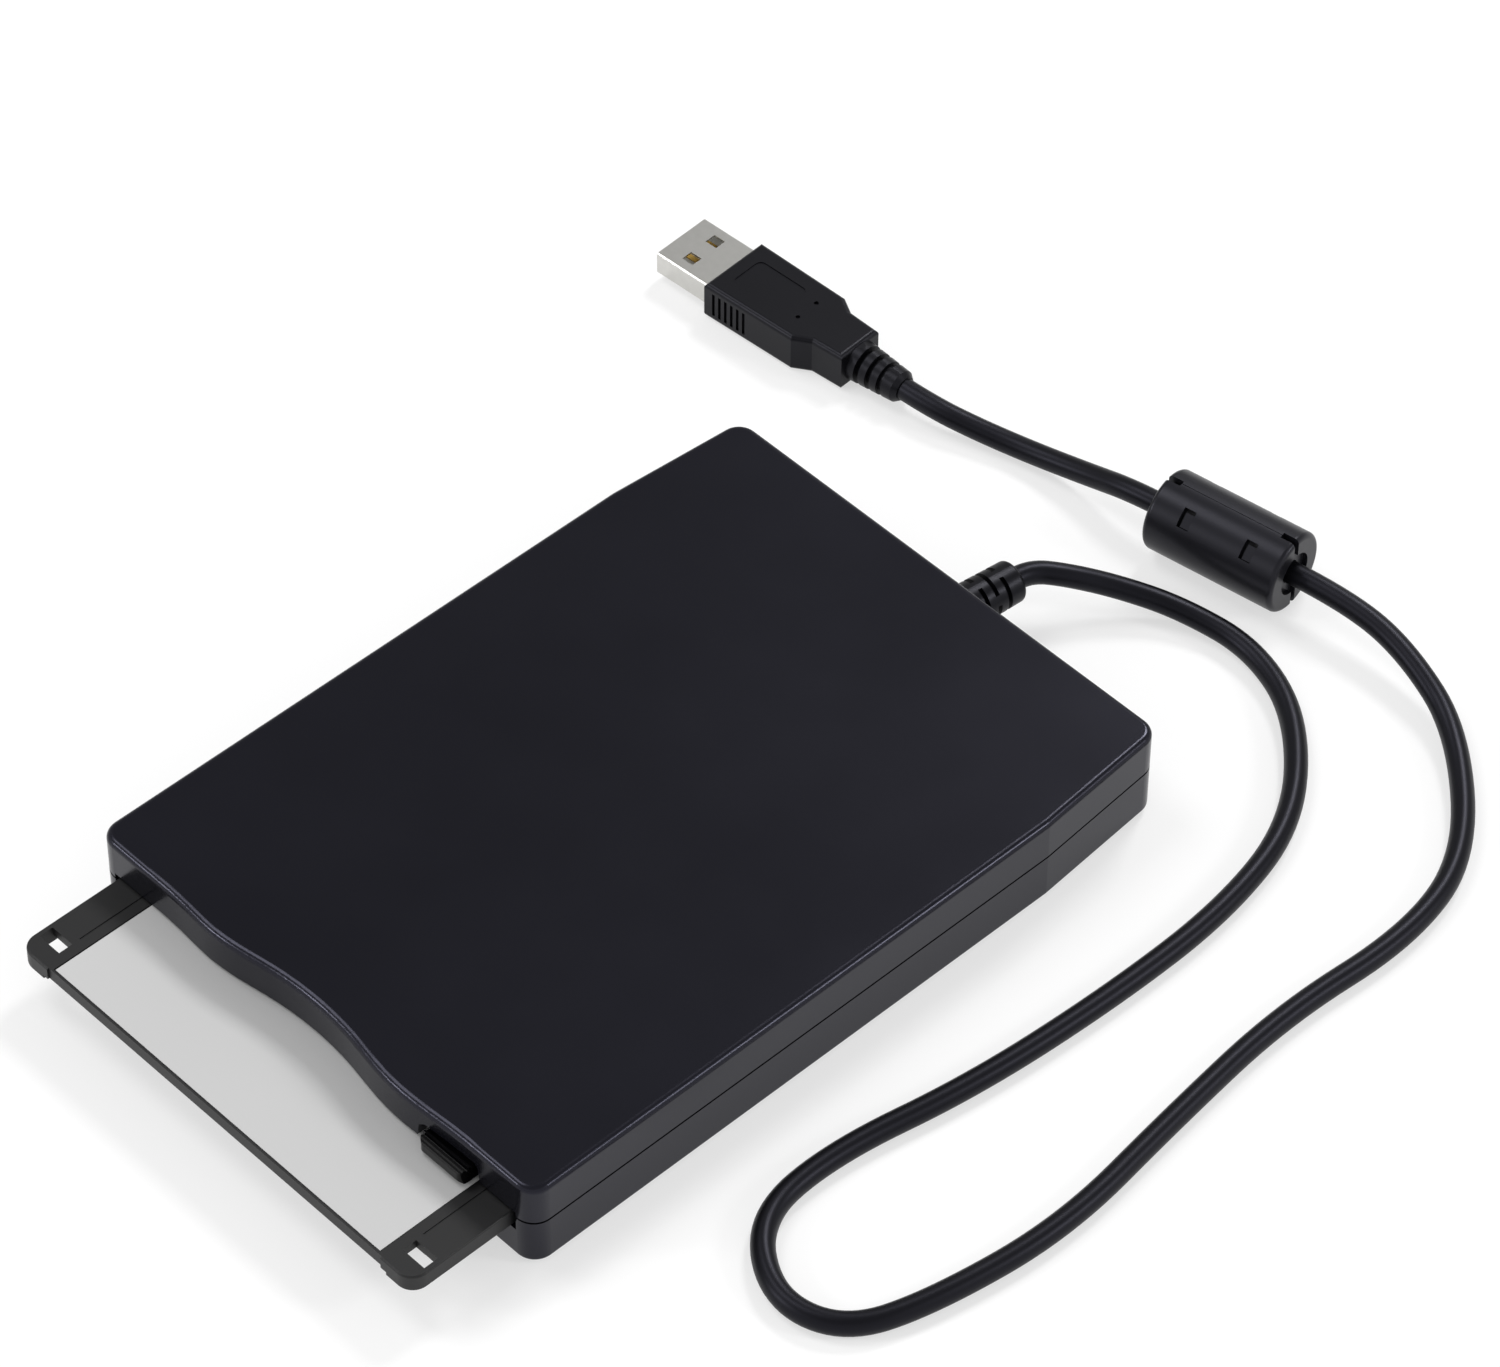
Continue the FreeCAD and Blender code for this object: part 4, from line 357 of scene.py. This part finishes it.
def steel_ground():
    # Steel rod, centreless ground: bright, with fine rings round it, drawn coarse
    return metal("steel_ground_bright", "#c3c5c8", "#d7d9dc", 0.2, (0.3, 6, 0.3), 0.8, 0.002)


def steel_nickel_plated():
    # Steel sheet, drawn and nickel plated: the bright shell of the plug and the disc's hub
    return metal("steel_nickel_plated", "#c8c7c3", "#d4d3cf", 0.3, (1, 1, 1), 1.5, 0.001)


def steel_spring():
    # Spring steel wire, drawn and nickel plated: bright, mottled along each turn
    return metal("steel_spring_wire", "#a9abae", "#c4c6c9", 0.26, (1, 1, 1), 0.5, 0.001)


def steel_blackened():
    # Steel screw, heat blackened: dark with a dull shine
    return metal("steel_blackened", "#2a2a2c", "#38383a", 0.45, (1, 1, 1), 0.6, 0.004)


def silicon_steel():
    # Silicon steel laminations, stamped and coated: dark blue-grey with fine layers
    return metal("silicon_steel_stamped", "#54585e", "#6a6e75", 0.5, (1, 1, 12), 0.8, 0.01)


def brass_turned():
    # Brass, turned on a lathe: warm yellow with fine rings
    return metal("brass_turned", "#b9995a", "#cfae6c", 0.28, (1, 1, 10), 0.5, 0.004)


def copper_enamelled():
    # Copper wire under clear enamel, wound in rows: red-brown and glossy
    return metal("copper_enamelled", "#8a4526", "#b8683e", 0.3, (12, 12, 1), 0.5, 0.03)


def gold_plated():
    # Copper alloy, gold plated: the contacts of the plug
    return metal("gold_plated", "#c9a353", "#dcb968", 0.25, (1, 1, 1), 0.8, 0.001)


def aluminium_brushed():
    # Aluminium sheet, brushed: the shutter of the diskette, its lines across the travel
    return metal("aluminium_brushed", "#b5b7ba", "#cbcdd0", 0.34, (1, 30, 1), 1.2, 0.004)


def board(name, mask_dark, mask_light, row_mm):
    """Circuit board: solder mask over tracks that run in steps, a shade lighter."""
    material, tree, shader, where = start(name)
    tracks = add(tree, "ShaderNodeTexBrick", {
        "offset": 0.37, "squash": 2.2, "squash_frequency": 3}, {
        "Vector": where, "Scale": per_metre(row_mm),
        "Color1": linear(mask_dark), "Color2": linear(mask_dark),
        "Mortar": linear(mask_light), "Mortar Size": 0.12,
        "Brick Width": 5.2, "Row Height": 1.0})
    bump = add(tree, "ShaderNodeBump", inputs={
        "Height": tracks.outputs["Fac"], "Distance": COPPER * MM, "Strength": 1.0})
    tree.links.new(tracks.outputs["Color"], shader.inputs["Base Color"])
    tree.links.new(bump.outputs["Normal"], shader.inputs["Normal"])
    shader.inputs["Roughness"].default_value = 0.35
    return material


def solder_mask_green():
    # Glass-epoxy board under green solder mask: rows of copper tracks show through it
    return board("solder_mask_green", "#0f3d20", "#1d5a33", 1.6)


def solder_mask_brown():
    # Steel-backed motor board under dark solder mask, its tracks wider apart
    return board("solder_mask_brown", "#2b1d12", "#43301f", 2.0)


def ribbon_polyester():
    # Polyester ribbon with flat conductors inside: white with grey lines along it. They
    # are really 1 mm apart, and are drawn twice as coarse, so that they show.
    material, tree, shader, where = start("polyester_ribbon_white")
    lines = add(tree, "ShaderNodeTexWave", {"bands_direction": "X"}, {
        "Vector": where, "Scale": per_metre(CONDUCTOR_PITCH) * WAVE_UNIT})
    tone = add(tree, "ShaderNodeMix", {"data_type": "RGBA"}, {
        FACTOR: lines.outputs["Fac"], FIRST: linear("#dfe2e6"), SECOND: linear("#a9adb3")})
    tree.links.new(tone.outputs[MIXED], shader.inputs["Base Color"])
    shader.inputs["Roughness"].default_value = 0.3
    return material


def studio_board():
    # Coated white board on the table: matte and clean, lit to white, with its shadows left
    material, tree, shader, _ = start("coated_board_white")
    shader.inputs["Base Color"].default_value = linear("#fafafa")
    shader.inputs["Roughness"].default_value = 0.85
    shader.inputs["Specular IOR Level"].default_value = 0.1
    path = add(tree, "ShaderNodeLightPath").outputs
    seen = add(tree, "ShaderNodeMath", {"operation": "MAXIMUM"}, {
        0: path["Is Camera Ray"], 1: path["Is Glossy Ray"]})
    seen = add(tree, "ShaderNodeMath", {"operation": "MAXIMUM"}, {
        0: seen.outputs[0], 1: path["Is Transmission Ray"]})
    share = add(tree, "ShaderNodeMath", {"operation": "MULTIPLY"}, {
        0: seen.outputs[0], 1: LIT_SHARE})
    white = add(tree, "ShaderNodeEmission", inputs={"Color": (1, 1, 1, 1), "Strength": 1.0})
    both = add(tree, "ShaderNodeMixShader", inputs={
        0: share.outputs[0], 1: shader.outputs[0], 2: white.outputs[0]})
    tree.links.new(both.outputs[0], tree.nodes["Material Output"].inputs["Surface"])
    return material


# ---- making the pieces --------------------------------------------------------------
def dress(material, *nodes):
    """Gives CAD nodes their finish."""
    for name in nodes:
        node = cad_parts[name]
        node.data.materials.clear()
        node.data.materials.append(material)


def round_cord(name, route, diameter, material, steps=10, rounding=6):
    """Round cord or wire: a smooth spline with the route's points as control points."""
    curve = bpy.data.curves.new(name, "CURVE")
    curve.dimensions = "3D"
    spline = curve.splines.new("NURBS")
    spline.points.add(len(route) - 1)
    for point, place in zip(spline.points, route):
        point.co = (*place, 1.0)
    spline.order_u = 3
    spline.use_endpoint_u = True
    spline.resolution_u = steps
    curve.bevel_depth = diameter / 2
    curve.bevel_resolution = rounding
    curve.use_fill_caps = True
    curve.materials.append(material)
    cord = bpy.data.objects.new(name, curve)
    bpy.context.scene.collection.objects.link(cord)
    return cord


def wound(axis, middle, radius, low, high, turns):
    """Points of a wire wound round an axis (0, 1 or 2) from low to high."""
    points = []
    for i in range(round(TURN_POINTS * turns) + 1):
        angle = math.tau * i / TURN_POINTS
        place = list(middle)
        place[axis] = low + (high - low) * i / (TURN_POINTS * turns)
        place[(axis + 1) % 3] += radius * math.cos(angle)
        place[(axis + 2) % 3] += radius * math.sin(angle)
        points.append(Vector(place))
    return points


def node_middle(name):
    """Lowest corner, highest corner and middle of a CAD node at rest."""
    low, high = (Vector(corner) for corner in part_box(name))
    return low, high, (low + high) / 2


def eject_route(wire):
    """Over the slider: straight ends and close turns between them."""
    low, high, mid = node_middle("eject_spring")
    first, last = low.y + EJECT_ENDS[0] * MM, high.y - EJECT_ENDS[1] * MM
    turns = int((last - first) / (CLOSE_PITCH * wire))
    ends = [Vector((mid.x, y, mid.z)) for y in (
        low.y, first - EJECT_BENDS[0] * MM, last + EJECT_BENDS[1] * MM, high.y)]
    return ends[:2] + wound(1, mid, (high.x - low.x - wire) / 2, first, last, turns) + ends[2:]


def arm_route(wire):
    """On the head arm's hinge: turns round the pin, and a leg that clears the arm's lift."""
    low, high, mid = node_middle("arm_spring")
    radius, inset = ARM_COIL_R * MM, ARM_COIL_INSET * MM
    hinge = Vector((mid.x, high.y - radius - wire / 2, low.z + radius + wire / 2))
    leg = [Vector((high.x - ARM_LEG_INSET * MM, low.y + along * MM, high.z + above * MM))
           for along, above in ARM_LEG]
    return wound(0, hinge, -radius, low.x + inset, high.x - inset, ARM_TURNS) + leg


def shutter_route(wire):
    """In the diskette: two turns lying flat, with one leg along the side."""
    low, high, mid = node_middle("shutter_spring")
    radius = (high.x - low.x - wire) / 2
    ring = Vector((mid.x, low.y + radius + wire / 2, mid.z))
    leg = [Vector((low.x + wire / 2, high.y, mid.z))]
    return leg + wound(2, ring, -radius, mid.z - wire / 2, mid.z + wire / 2, SHUTTER_TURNS)


def soft_lamp(name, place, size, power):
    """Square lamp at a place in metres, turned to the frame's origin under the drive."""
    data = bpy.data.lights.new(name, "AREA")
    data.size = size
    data.energy = power
    lamp = bpy.data.objects.new(name, data)
    lamp.location = place
    lamp.rotation_euler = (-Vector(place)).to_track_quat("-Z", "Y").to_euler()
    bpy.context.scene.collection.objects.link(lamp)


def place_camera(scene):
    """Camera from its heading, height, roll and distance, aimed at the target."""
    heading, height, roll = (
        math.radians(a) for a in (CAMERA_HEADING, CAMERA_HEIGHT, CAMERA_ROLL))
    forward = Vector((-math.sin(heading) * math.cos(height),
                      math.cos(heading) * math.cos(height), -math.sin(height)))
    right = forward.cross(Vector((0, 0, 1))).normalized()
    up = right.cross(forward)
    across = math.cos(roll) * right + math.sin(roll) * up
    upward = -math.sin(roll) * right + math.cos(roll) * up
    eye = in_frame([CAMERA_TARGET])[0] - forward * CAMERA_DISTANCE * MM
    data = bpy.data.cameras.new("camera")
    data.sensor_fit = "HORIZONTAL"
    data.sensor_width = SENSOR
    data.lens = SENSOR * FOCAL_PIXELS / PICTURE_WIDTH
    camera = bpy.data.objects.new("camera", data)
    rows = zip(across, upward, -forward, eye)
    camera.matrix_world = Matrix([*rows, (0, 0, 0, 1)])
    scene.collection.objects.link(camera)
    scene.camera = camera


def soft_sky(strength):
    """White light from all round: less of it from overhead and from the far left side."""
    world = bpy.data.worlds.new("studio")
    world.use_nodes = True
    tree = world.node_tree
    tree.nodes.clear()
    way = add(tree, "ShaderNodeSeparateXYZ", inputs={
        "Vector": add(tree, "ShaderNodeTexCoord").outputs["Generated"]})
    height = add(tree, "ShaderNodeMapRange", {"interpolation_type": "SMOOTHSTEP"}, {
        "Value": way.outputs["Z"], "From Min": SKY_TURN[0], "From Max": SKY_TURN[1],
        "To Min": HORIZON * strength, "To Max": ZENITH * strength})
    across = add(tree, "ShaderNodeMath", {"operation": "SUBTRACT"}, {
        0: way.outputs["X"], 1: way.outputs["Y"]})
    open_side = add(tree, "ShaderNodeMapRange", {"interpolation_type": "SMOOTHSTEP"}, {
        "Value": across.outputs[0], "From Min": SIDE_TURN[0], "From Max": SIDE_TURN[1],
        "To Min": FAR_SIDE, "To Max": 1.0})
    light = add(tree, "ShaderNodeMath", {"operation": "MULTIPLY"}, {
        0: height.outputs["Result"], 1: open_side.outputs["Result"]})
    sky = add(tree, "ShaderNodeBackground", inputs={
        "Color": (1, 1, 1, 1), "Strength": light.outputs[0]})
    out = add(tree, "ShaderNodeOutputWorld")
    tree.links.new(sky.outputs[0], out.inputs["Surface"])
    return world


class CordSizes(bpy.types.PropertyGroup):
    diameter: bpy.props.FloatProperty(
        name="Cord diameter", description="Outside diameter of the jacket",
        default=CORD_D * MM, unit="LENGTH")


class SpringSizes(bpy.types.PropertyGroup):
    eject_wire: bpy.props.FloatProperty(
        name="Eject spring wire", description="Wire of the spring over the slider",
        default=0.36 * MM, unit="LENGTH")
    arm_wire: bpy.props.FloatProperty(
        name="Head spring wire", description="Wire of the spring on the head arm",
        default=0.4 * MM, unit="LENGTH")
    shutter_wire: bpy.props.FloatProperty(
        name="Shutter spring wire", description="Wire of the spring in the diskette",
        default=0.35 * MM, unit="LENGTH")


class ThreadSizes(bpy.types.PropertyGroup):
    lead: bpy.props.FloatProperty(
        name="Lead", description="Travel of the heads for one turn of the screw",
        default=3.0 * MM, unit="LENGTH")
    depth: bpy.props.FloatProperty(
        name="Groove depth", description="Depth of the screw's groove",
        default=0.4 * MM, unit="LENGTH")
    width: bpy.props.FloatProperty(
        name="Groove width", description="Width of the groove at the surface",
        default=1.3 * MM, unit="LENGTH")


class HousingLook(bpy.types.PropertyGroup):
    dark: bpy.props.StringProperty(
        name="Cover colour", description="Colour of the moulded covers, as an sRGB hex value",
        default="#0c0c10")
    light: bpy.props.StringProperty(
        name="Cover cloud", description="Lighter tone of the covers where they are handled",
        default="#0f0f14")
    roughness: bpy.props.FloatProperty(
        name="Cover roughness", description="Roughness of the covers",
        default=0.24, min=0, max=1, subtype="FACTOR")


class StudioLook(bpy.types.PropertyGroup):
    key: bpy.props.FloatProperty(
        name="Key lamp", description="Power of the soft lamp behind the drive",
        default=10.2, min=0, unit="POWER")
    side: bpy.props.FloatProperty(
        name="Side lamp", description="Power of the soft lamp at the left",
        default=6.5, min=0, unit="POWER")
    edge: bpy.props.FloatProperty(
        name="Edge lamps", description="Power of each of the two low lamps that draw the edges",
        default=4.4, min=0, unit="POWER")
    world: bpy.props.FloatProperty(
        name="Sky", description="Strength of the light from all round", default=1.0, min=0)


class MakeCords(bpy.types.Operator):
    """Make both stretches of the cord"""
    bl_idname = "diskette_drive.cords"
    bl_label = "Cords"

    def execute(self, context):
        jacket = pvc_extruded()
        diameter = context.scene.cord_sizes.diameter
        long_route, short_route = in_frame(LONG_ROUTE), in_frame(SHORT_ROUTE)
        long_cord = round_cord("cord_to_filter", long_route, diameter, jacket)
        short_cord = round_cord("cord_to_plug", short_route, diameter, jacket)
        for cord, node in ((long_cord, "cord_main"), (short_cord, "cord_end")):
            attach(cord, "housing")
            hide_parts(node)
        dress(jacket, "cord_through_filter", "cord_tail")
        return {"FINISHED"}


class MakeHousing(bpy.types.Operator):
    """Finish the two covers, the feet, the screws and the light"""
    bl_idname = "diskette_drive.housing"
    bl_label = "Housing"

    def execute(self, context):
        covers = abs_spark_eroded(context.scene.housing_look)
        dress(painted_seam_shade(covers), "top_cover", "bottom_cover")
        dress(rubber_moulded(), "rubber_feet")
        dress(steel_blackened(), "screws")
        dress(epoxy_diffused(), "activity_light")
        return {"FINISHED"}


class MakeButton(bpy.types.Operator):
    """Finish the eject button"""
    bl_idname = "diskette_drive.button"
    bl_label = "Eject button"

    def execute(self, context):
        dress(abs_polished(), "eject_button")
        return {"FINISHED"}


class MakeDiskette(bpy.types.Operator):
    """Finish the diskette"""
    bl_idname = "diskette_drive.diskette"
    bl_label = "Diskette"

    def execute(self, context):
        dress(hips_diskette(), "diskette_upper_shell", "diskette_lower_shell",
              "write_protect_tab")
        dress(paper_coated(), "label")
        dress(polyester_fleece(), "liners")
        dress(aluminium_brushed(), "shutter")
        dress(steel_nickel_plated(), "media_hub")
        dress(polyester_film_coated(), "media_disc")
        return {"FINISHED"}


class MakePlug(bpy.types.Operator):
    """Finish the plug and the two boots of the cord"""
    bl_idname = "diskette_drive.plug"
    bl_label = "Plug and boots"

    def execute(self, context):
        dress(pvc_moulded(), "plug_overmould", "plug_boot", "cord_boot")
        dress(steel_nickel_plated(), "plug_shell")
        dress(pbt_white(), "plug_tongue")
        dress(gold_plated(), "plug_contacts")
        return {"FINISHED"}


class MakeFilter(bpy.types.Operator):
    """Finish the clip-on filter"""
    bl_idname = "diskette_drive.filter"
    bl_label = "Filter"

    def execute(self, context):
        dress(abs_clip(), "filter_case_front", "filter_case_back")
        dress(ferrite_sintered(), "filter_core")
        return {"FINISHED"}


class MakeMechanism(bpy.types.Operator):
    """Finish the mechanism and the boards inside the housing"""
    bl_idname = "diskette_drive.mechanism"
    bl_label = "Mechanism"

    def execute(self, context):
        dress(steel_zinc_plated(), "drive_chassis", "drive_shield", "disk_holder",
              "trigger_lever", "rotor_cup", "screw_bracket", "stepper_motor", "slider_plate")
        dress(steel_ground(), "holder_pins", "guide_rods", "spindle_hub")
        dress(brass_turned(), "locating_pins", "spindle_bearing")
        dress(silicon_steel(), "stator_core")
        dress(copper_enamelled(), "stator_coils")
        dress(ferrite_sintered(), "rotor_magnet")
        dress(rubber_moulded(), "chuck_magnet")
        dress(nylon_glass_filled(), "head_carriage", "upper_head_arm")
        dress(alumina_lapped(), "lower_head", "upper_head")
        dress(epoxy_moulded(), "track_zero_sensor", "drive_board_parts", "board_parts")
        dress(solder_mask_green(), "drive_board", "usb_board")
        dress(solder_mask_brown(), "motor_board")
        dress(nylon_ivory(), "board_connectors")
        dress(ribbon_polyester(), "flat_flex_cable")
        return {"FINISHED"}


class MakeSprings(bpy.types.Operator):
    """Wind the three springs"""
    bl_idname = "diskette_drive.springs"
    bl_label = "Springs"

    def execute(self, context):
        wires = context.scene.spring_sizes
        steel = steel_spring()
        for node, body, path, wire in (
                ("eject_spring", "housing", eject_route, wires.eject_wire),
                ("arm_spring", "carriage", arm_route, wires.arm_wire),
                ("shutter_spring", "diskette", shutter_route, wires.shutter_wire)):
            spring = round_cord(node + "_wire", path(wire), wire, steel, steps=2, rounding=1)
            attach(spring, body)
            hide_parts(node)
        return {"FINISHED"}


class MakeLeadScrew(bpy.types.Operator):
    """Cut the helical groove of the lead screw"""
    bl_idname = "diskette_drive.lead_screw"
    bl_label = "Lead screw"

    def execute(self, context):
        sizes = context.scene.thread_sizes
        low, high, mid = node_middle("lead_screw")
        full, journal, row = (high.x - low.x) / 2, JOURNAL_R * MM, SCREW_ROW * MM
        shoulder, sides = low.y + JOURNAL_L * MM, SCREW_SIDES
        groove_from, groove_to = shoulder + GROOVE_START * MM, high.y - GROOVE_END * MM
        rings = [(low.y, journal), (shoulder, journal), (shoulder, full)]
        rings += [(shoulder + row * i, full) for i in range(1, int((high.y - shoulder) / row))]
        rings += [(high.y, full)]
        verts, faces = [], []
        for y, radius in rings:
            for i in range(sides):
                turn = i / sides
                off = abs((y / sizes.lead - turn) % 1 - 0.5) * sizes.lead
                grooved = groove_from < y < groove_to
                cut = sizes.depth * max(0.0, 1 - 2 * off / sizes.width) if grooved else 0.0
                angle = math.tau * turn
                verts.append((mid.x + (radius - cut) * math.sin(angle), y,
                              mid.z + (radius - cut) * math.cos(angle)))
        for k in range(len(rings) - 1):
            for i in range(sides):
                a, b = k * sides + i, k * sides + (i + 1) % sides
                faces.append((a, b, b + sides, a + sides))
        faces += [tuple(range(sides))[::-1], tuple(range(len(verts) - sides, len(verts)))]
        mesh = bpy.data.meshes.new("lead_screw_grooved")
        mesh.from_pydata(verts, [], faces)
        mesh.shade_smooth()
        mesh.set_sharp_from_angle(angle=math.radians(SCREW_SHARP))
        mesh.materials.append(steel_ground())
        screw = bpy.data.objects.new("lead_screw_grooved", mesh)
        context.scene.collection.objects.link(screw)
        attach(screw, "screw")
        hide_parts("lead_screw")
        return {"FINISHED"}


class MakeStage(bpy.types.Operator):
    """Set the camera, the lamps and the white table"""
    bl_idname = "diskette_drive.stage"
    bl_label = "Studio"

    def execute(self, context):
        scene = context.scene
        look = scene.studio_look
        place_camera(scene)
        mesh = bpy.data.meshes.new("table")
        corners = [(x * TABLE_HALF, y * TABLE_HALF, 0)
                   for x, y in ((-1, -1), (1, -1), (1, 1), (-1, 1))]
        mesh.from_pydata(corners, [], [(0, 1, 2, 3)])
        mesh.materials.append(studio_board())
        table = bpy.data.objects.new("table", mesh)
        scene.collection.objects.link(table)
        for name, place, size, power in LAMPS:
            soft_lamp(name, place, size, getattr(look, power))
        scene.world = soft_sky(look.world)
        scene.view_settings.view_transform = "Standard"
        return {"FINISHED"}


class DriveList(bpy.types.Panel):
    """Buttons for each group of pieces, with their sizes and colours"""
    bl_idname = "VIEW3D_PT_diskette_drive"
    bl_label = "Diskette drive"
    bl_space_type = "VIEW_3D"
    bl_region_type = "UI"
    bl_category = "Diskette Drive"

    def draw(self, context):
        scene = context.scene
        for group in (getattr(scene, name) for name in GROUPS):
            for name in group.bl_rna.properties.keys():
                if name not in ("rna_type", "name"):
                    self.layout.prop(group, name)
        for step in STEPS:
            self.layout.operator(step.bl_idname)


STEPS = (MakeStage, MakeCords, MakeHousing, MakeButton, MakeDiskette, MakePlug, MakeFilter,
         MakeMechanism, MakeSprings, MakeLeadScrew)
GROUPS = {"cord_sizes": CordSizes, "spring_sizes": SpringSizes, "thread_sizes": ThreadSizes,
          "housing_look": HousingLook, "studio_look": StudioLook}


def register():
    for cls in (*GROUPS.values(), *STEPS, DriveList):
        bpy.utils.register_class(cls)
    for name, group in GROUPS.items():
        setattr(bpy.types.Scene, name, bpy.props.PointerProperty(type=group))


def unregister():
    for name in GROUPS:
        delattr(bpy.types.Scene, name)
    for cls in reversed((*GROUPS.values(), *STEPS, DriveList)):
        bpy.utils.unregister_class(cls)


def main():
    register()
    for step in STEPS:
        module, name = step.bl_idname.split(".")
        getattr(getattr(bpy.ops, module), name)()
    bpy.context.view_layer.update()


if __name__ == "__main__":
    main()
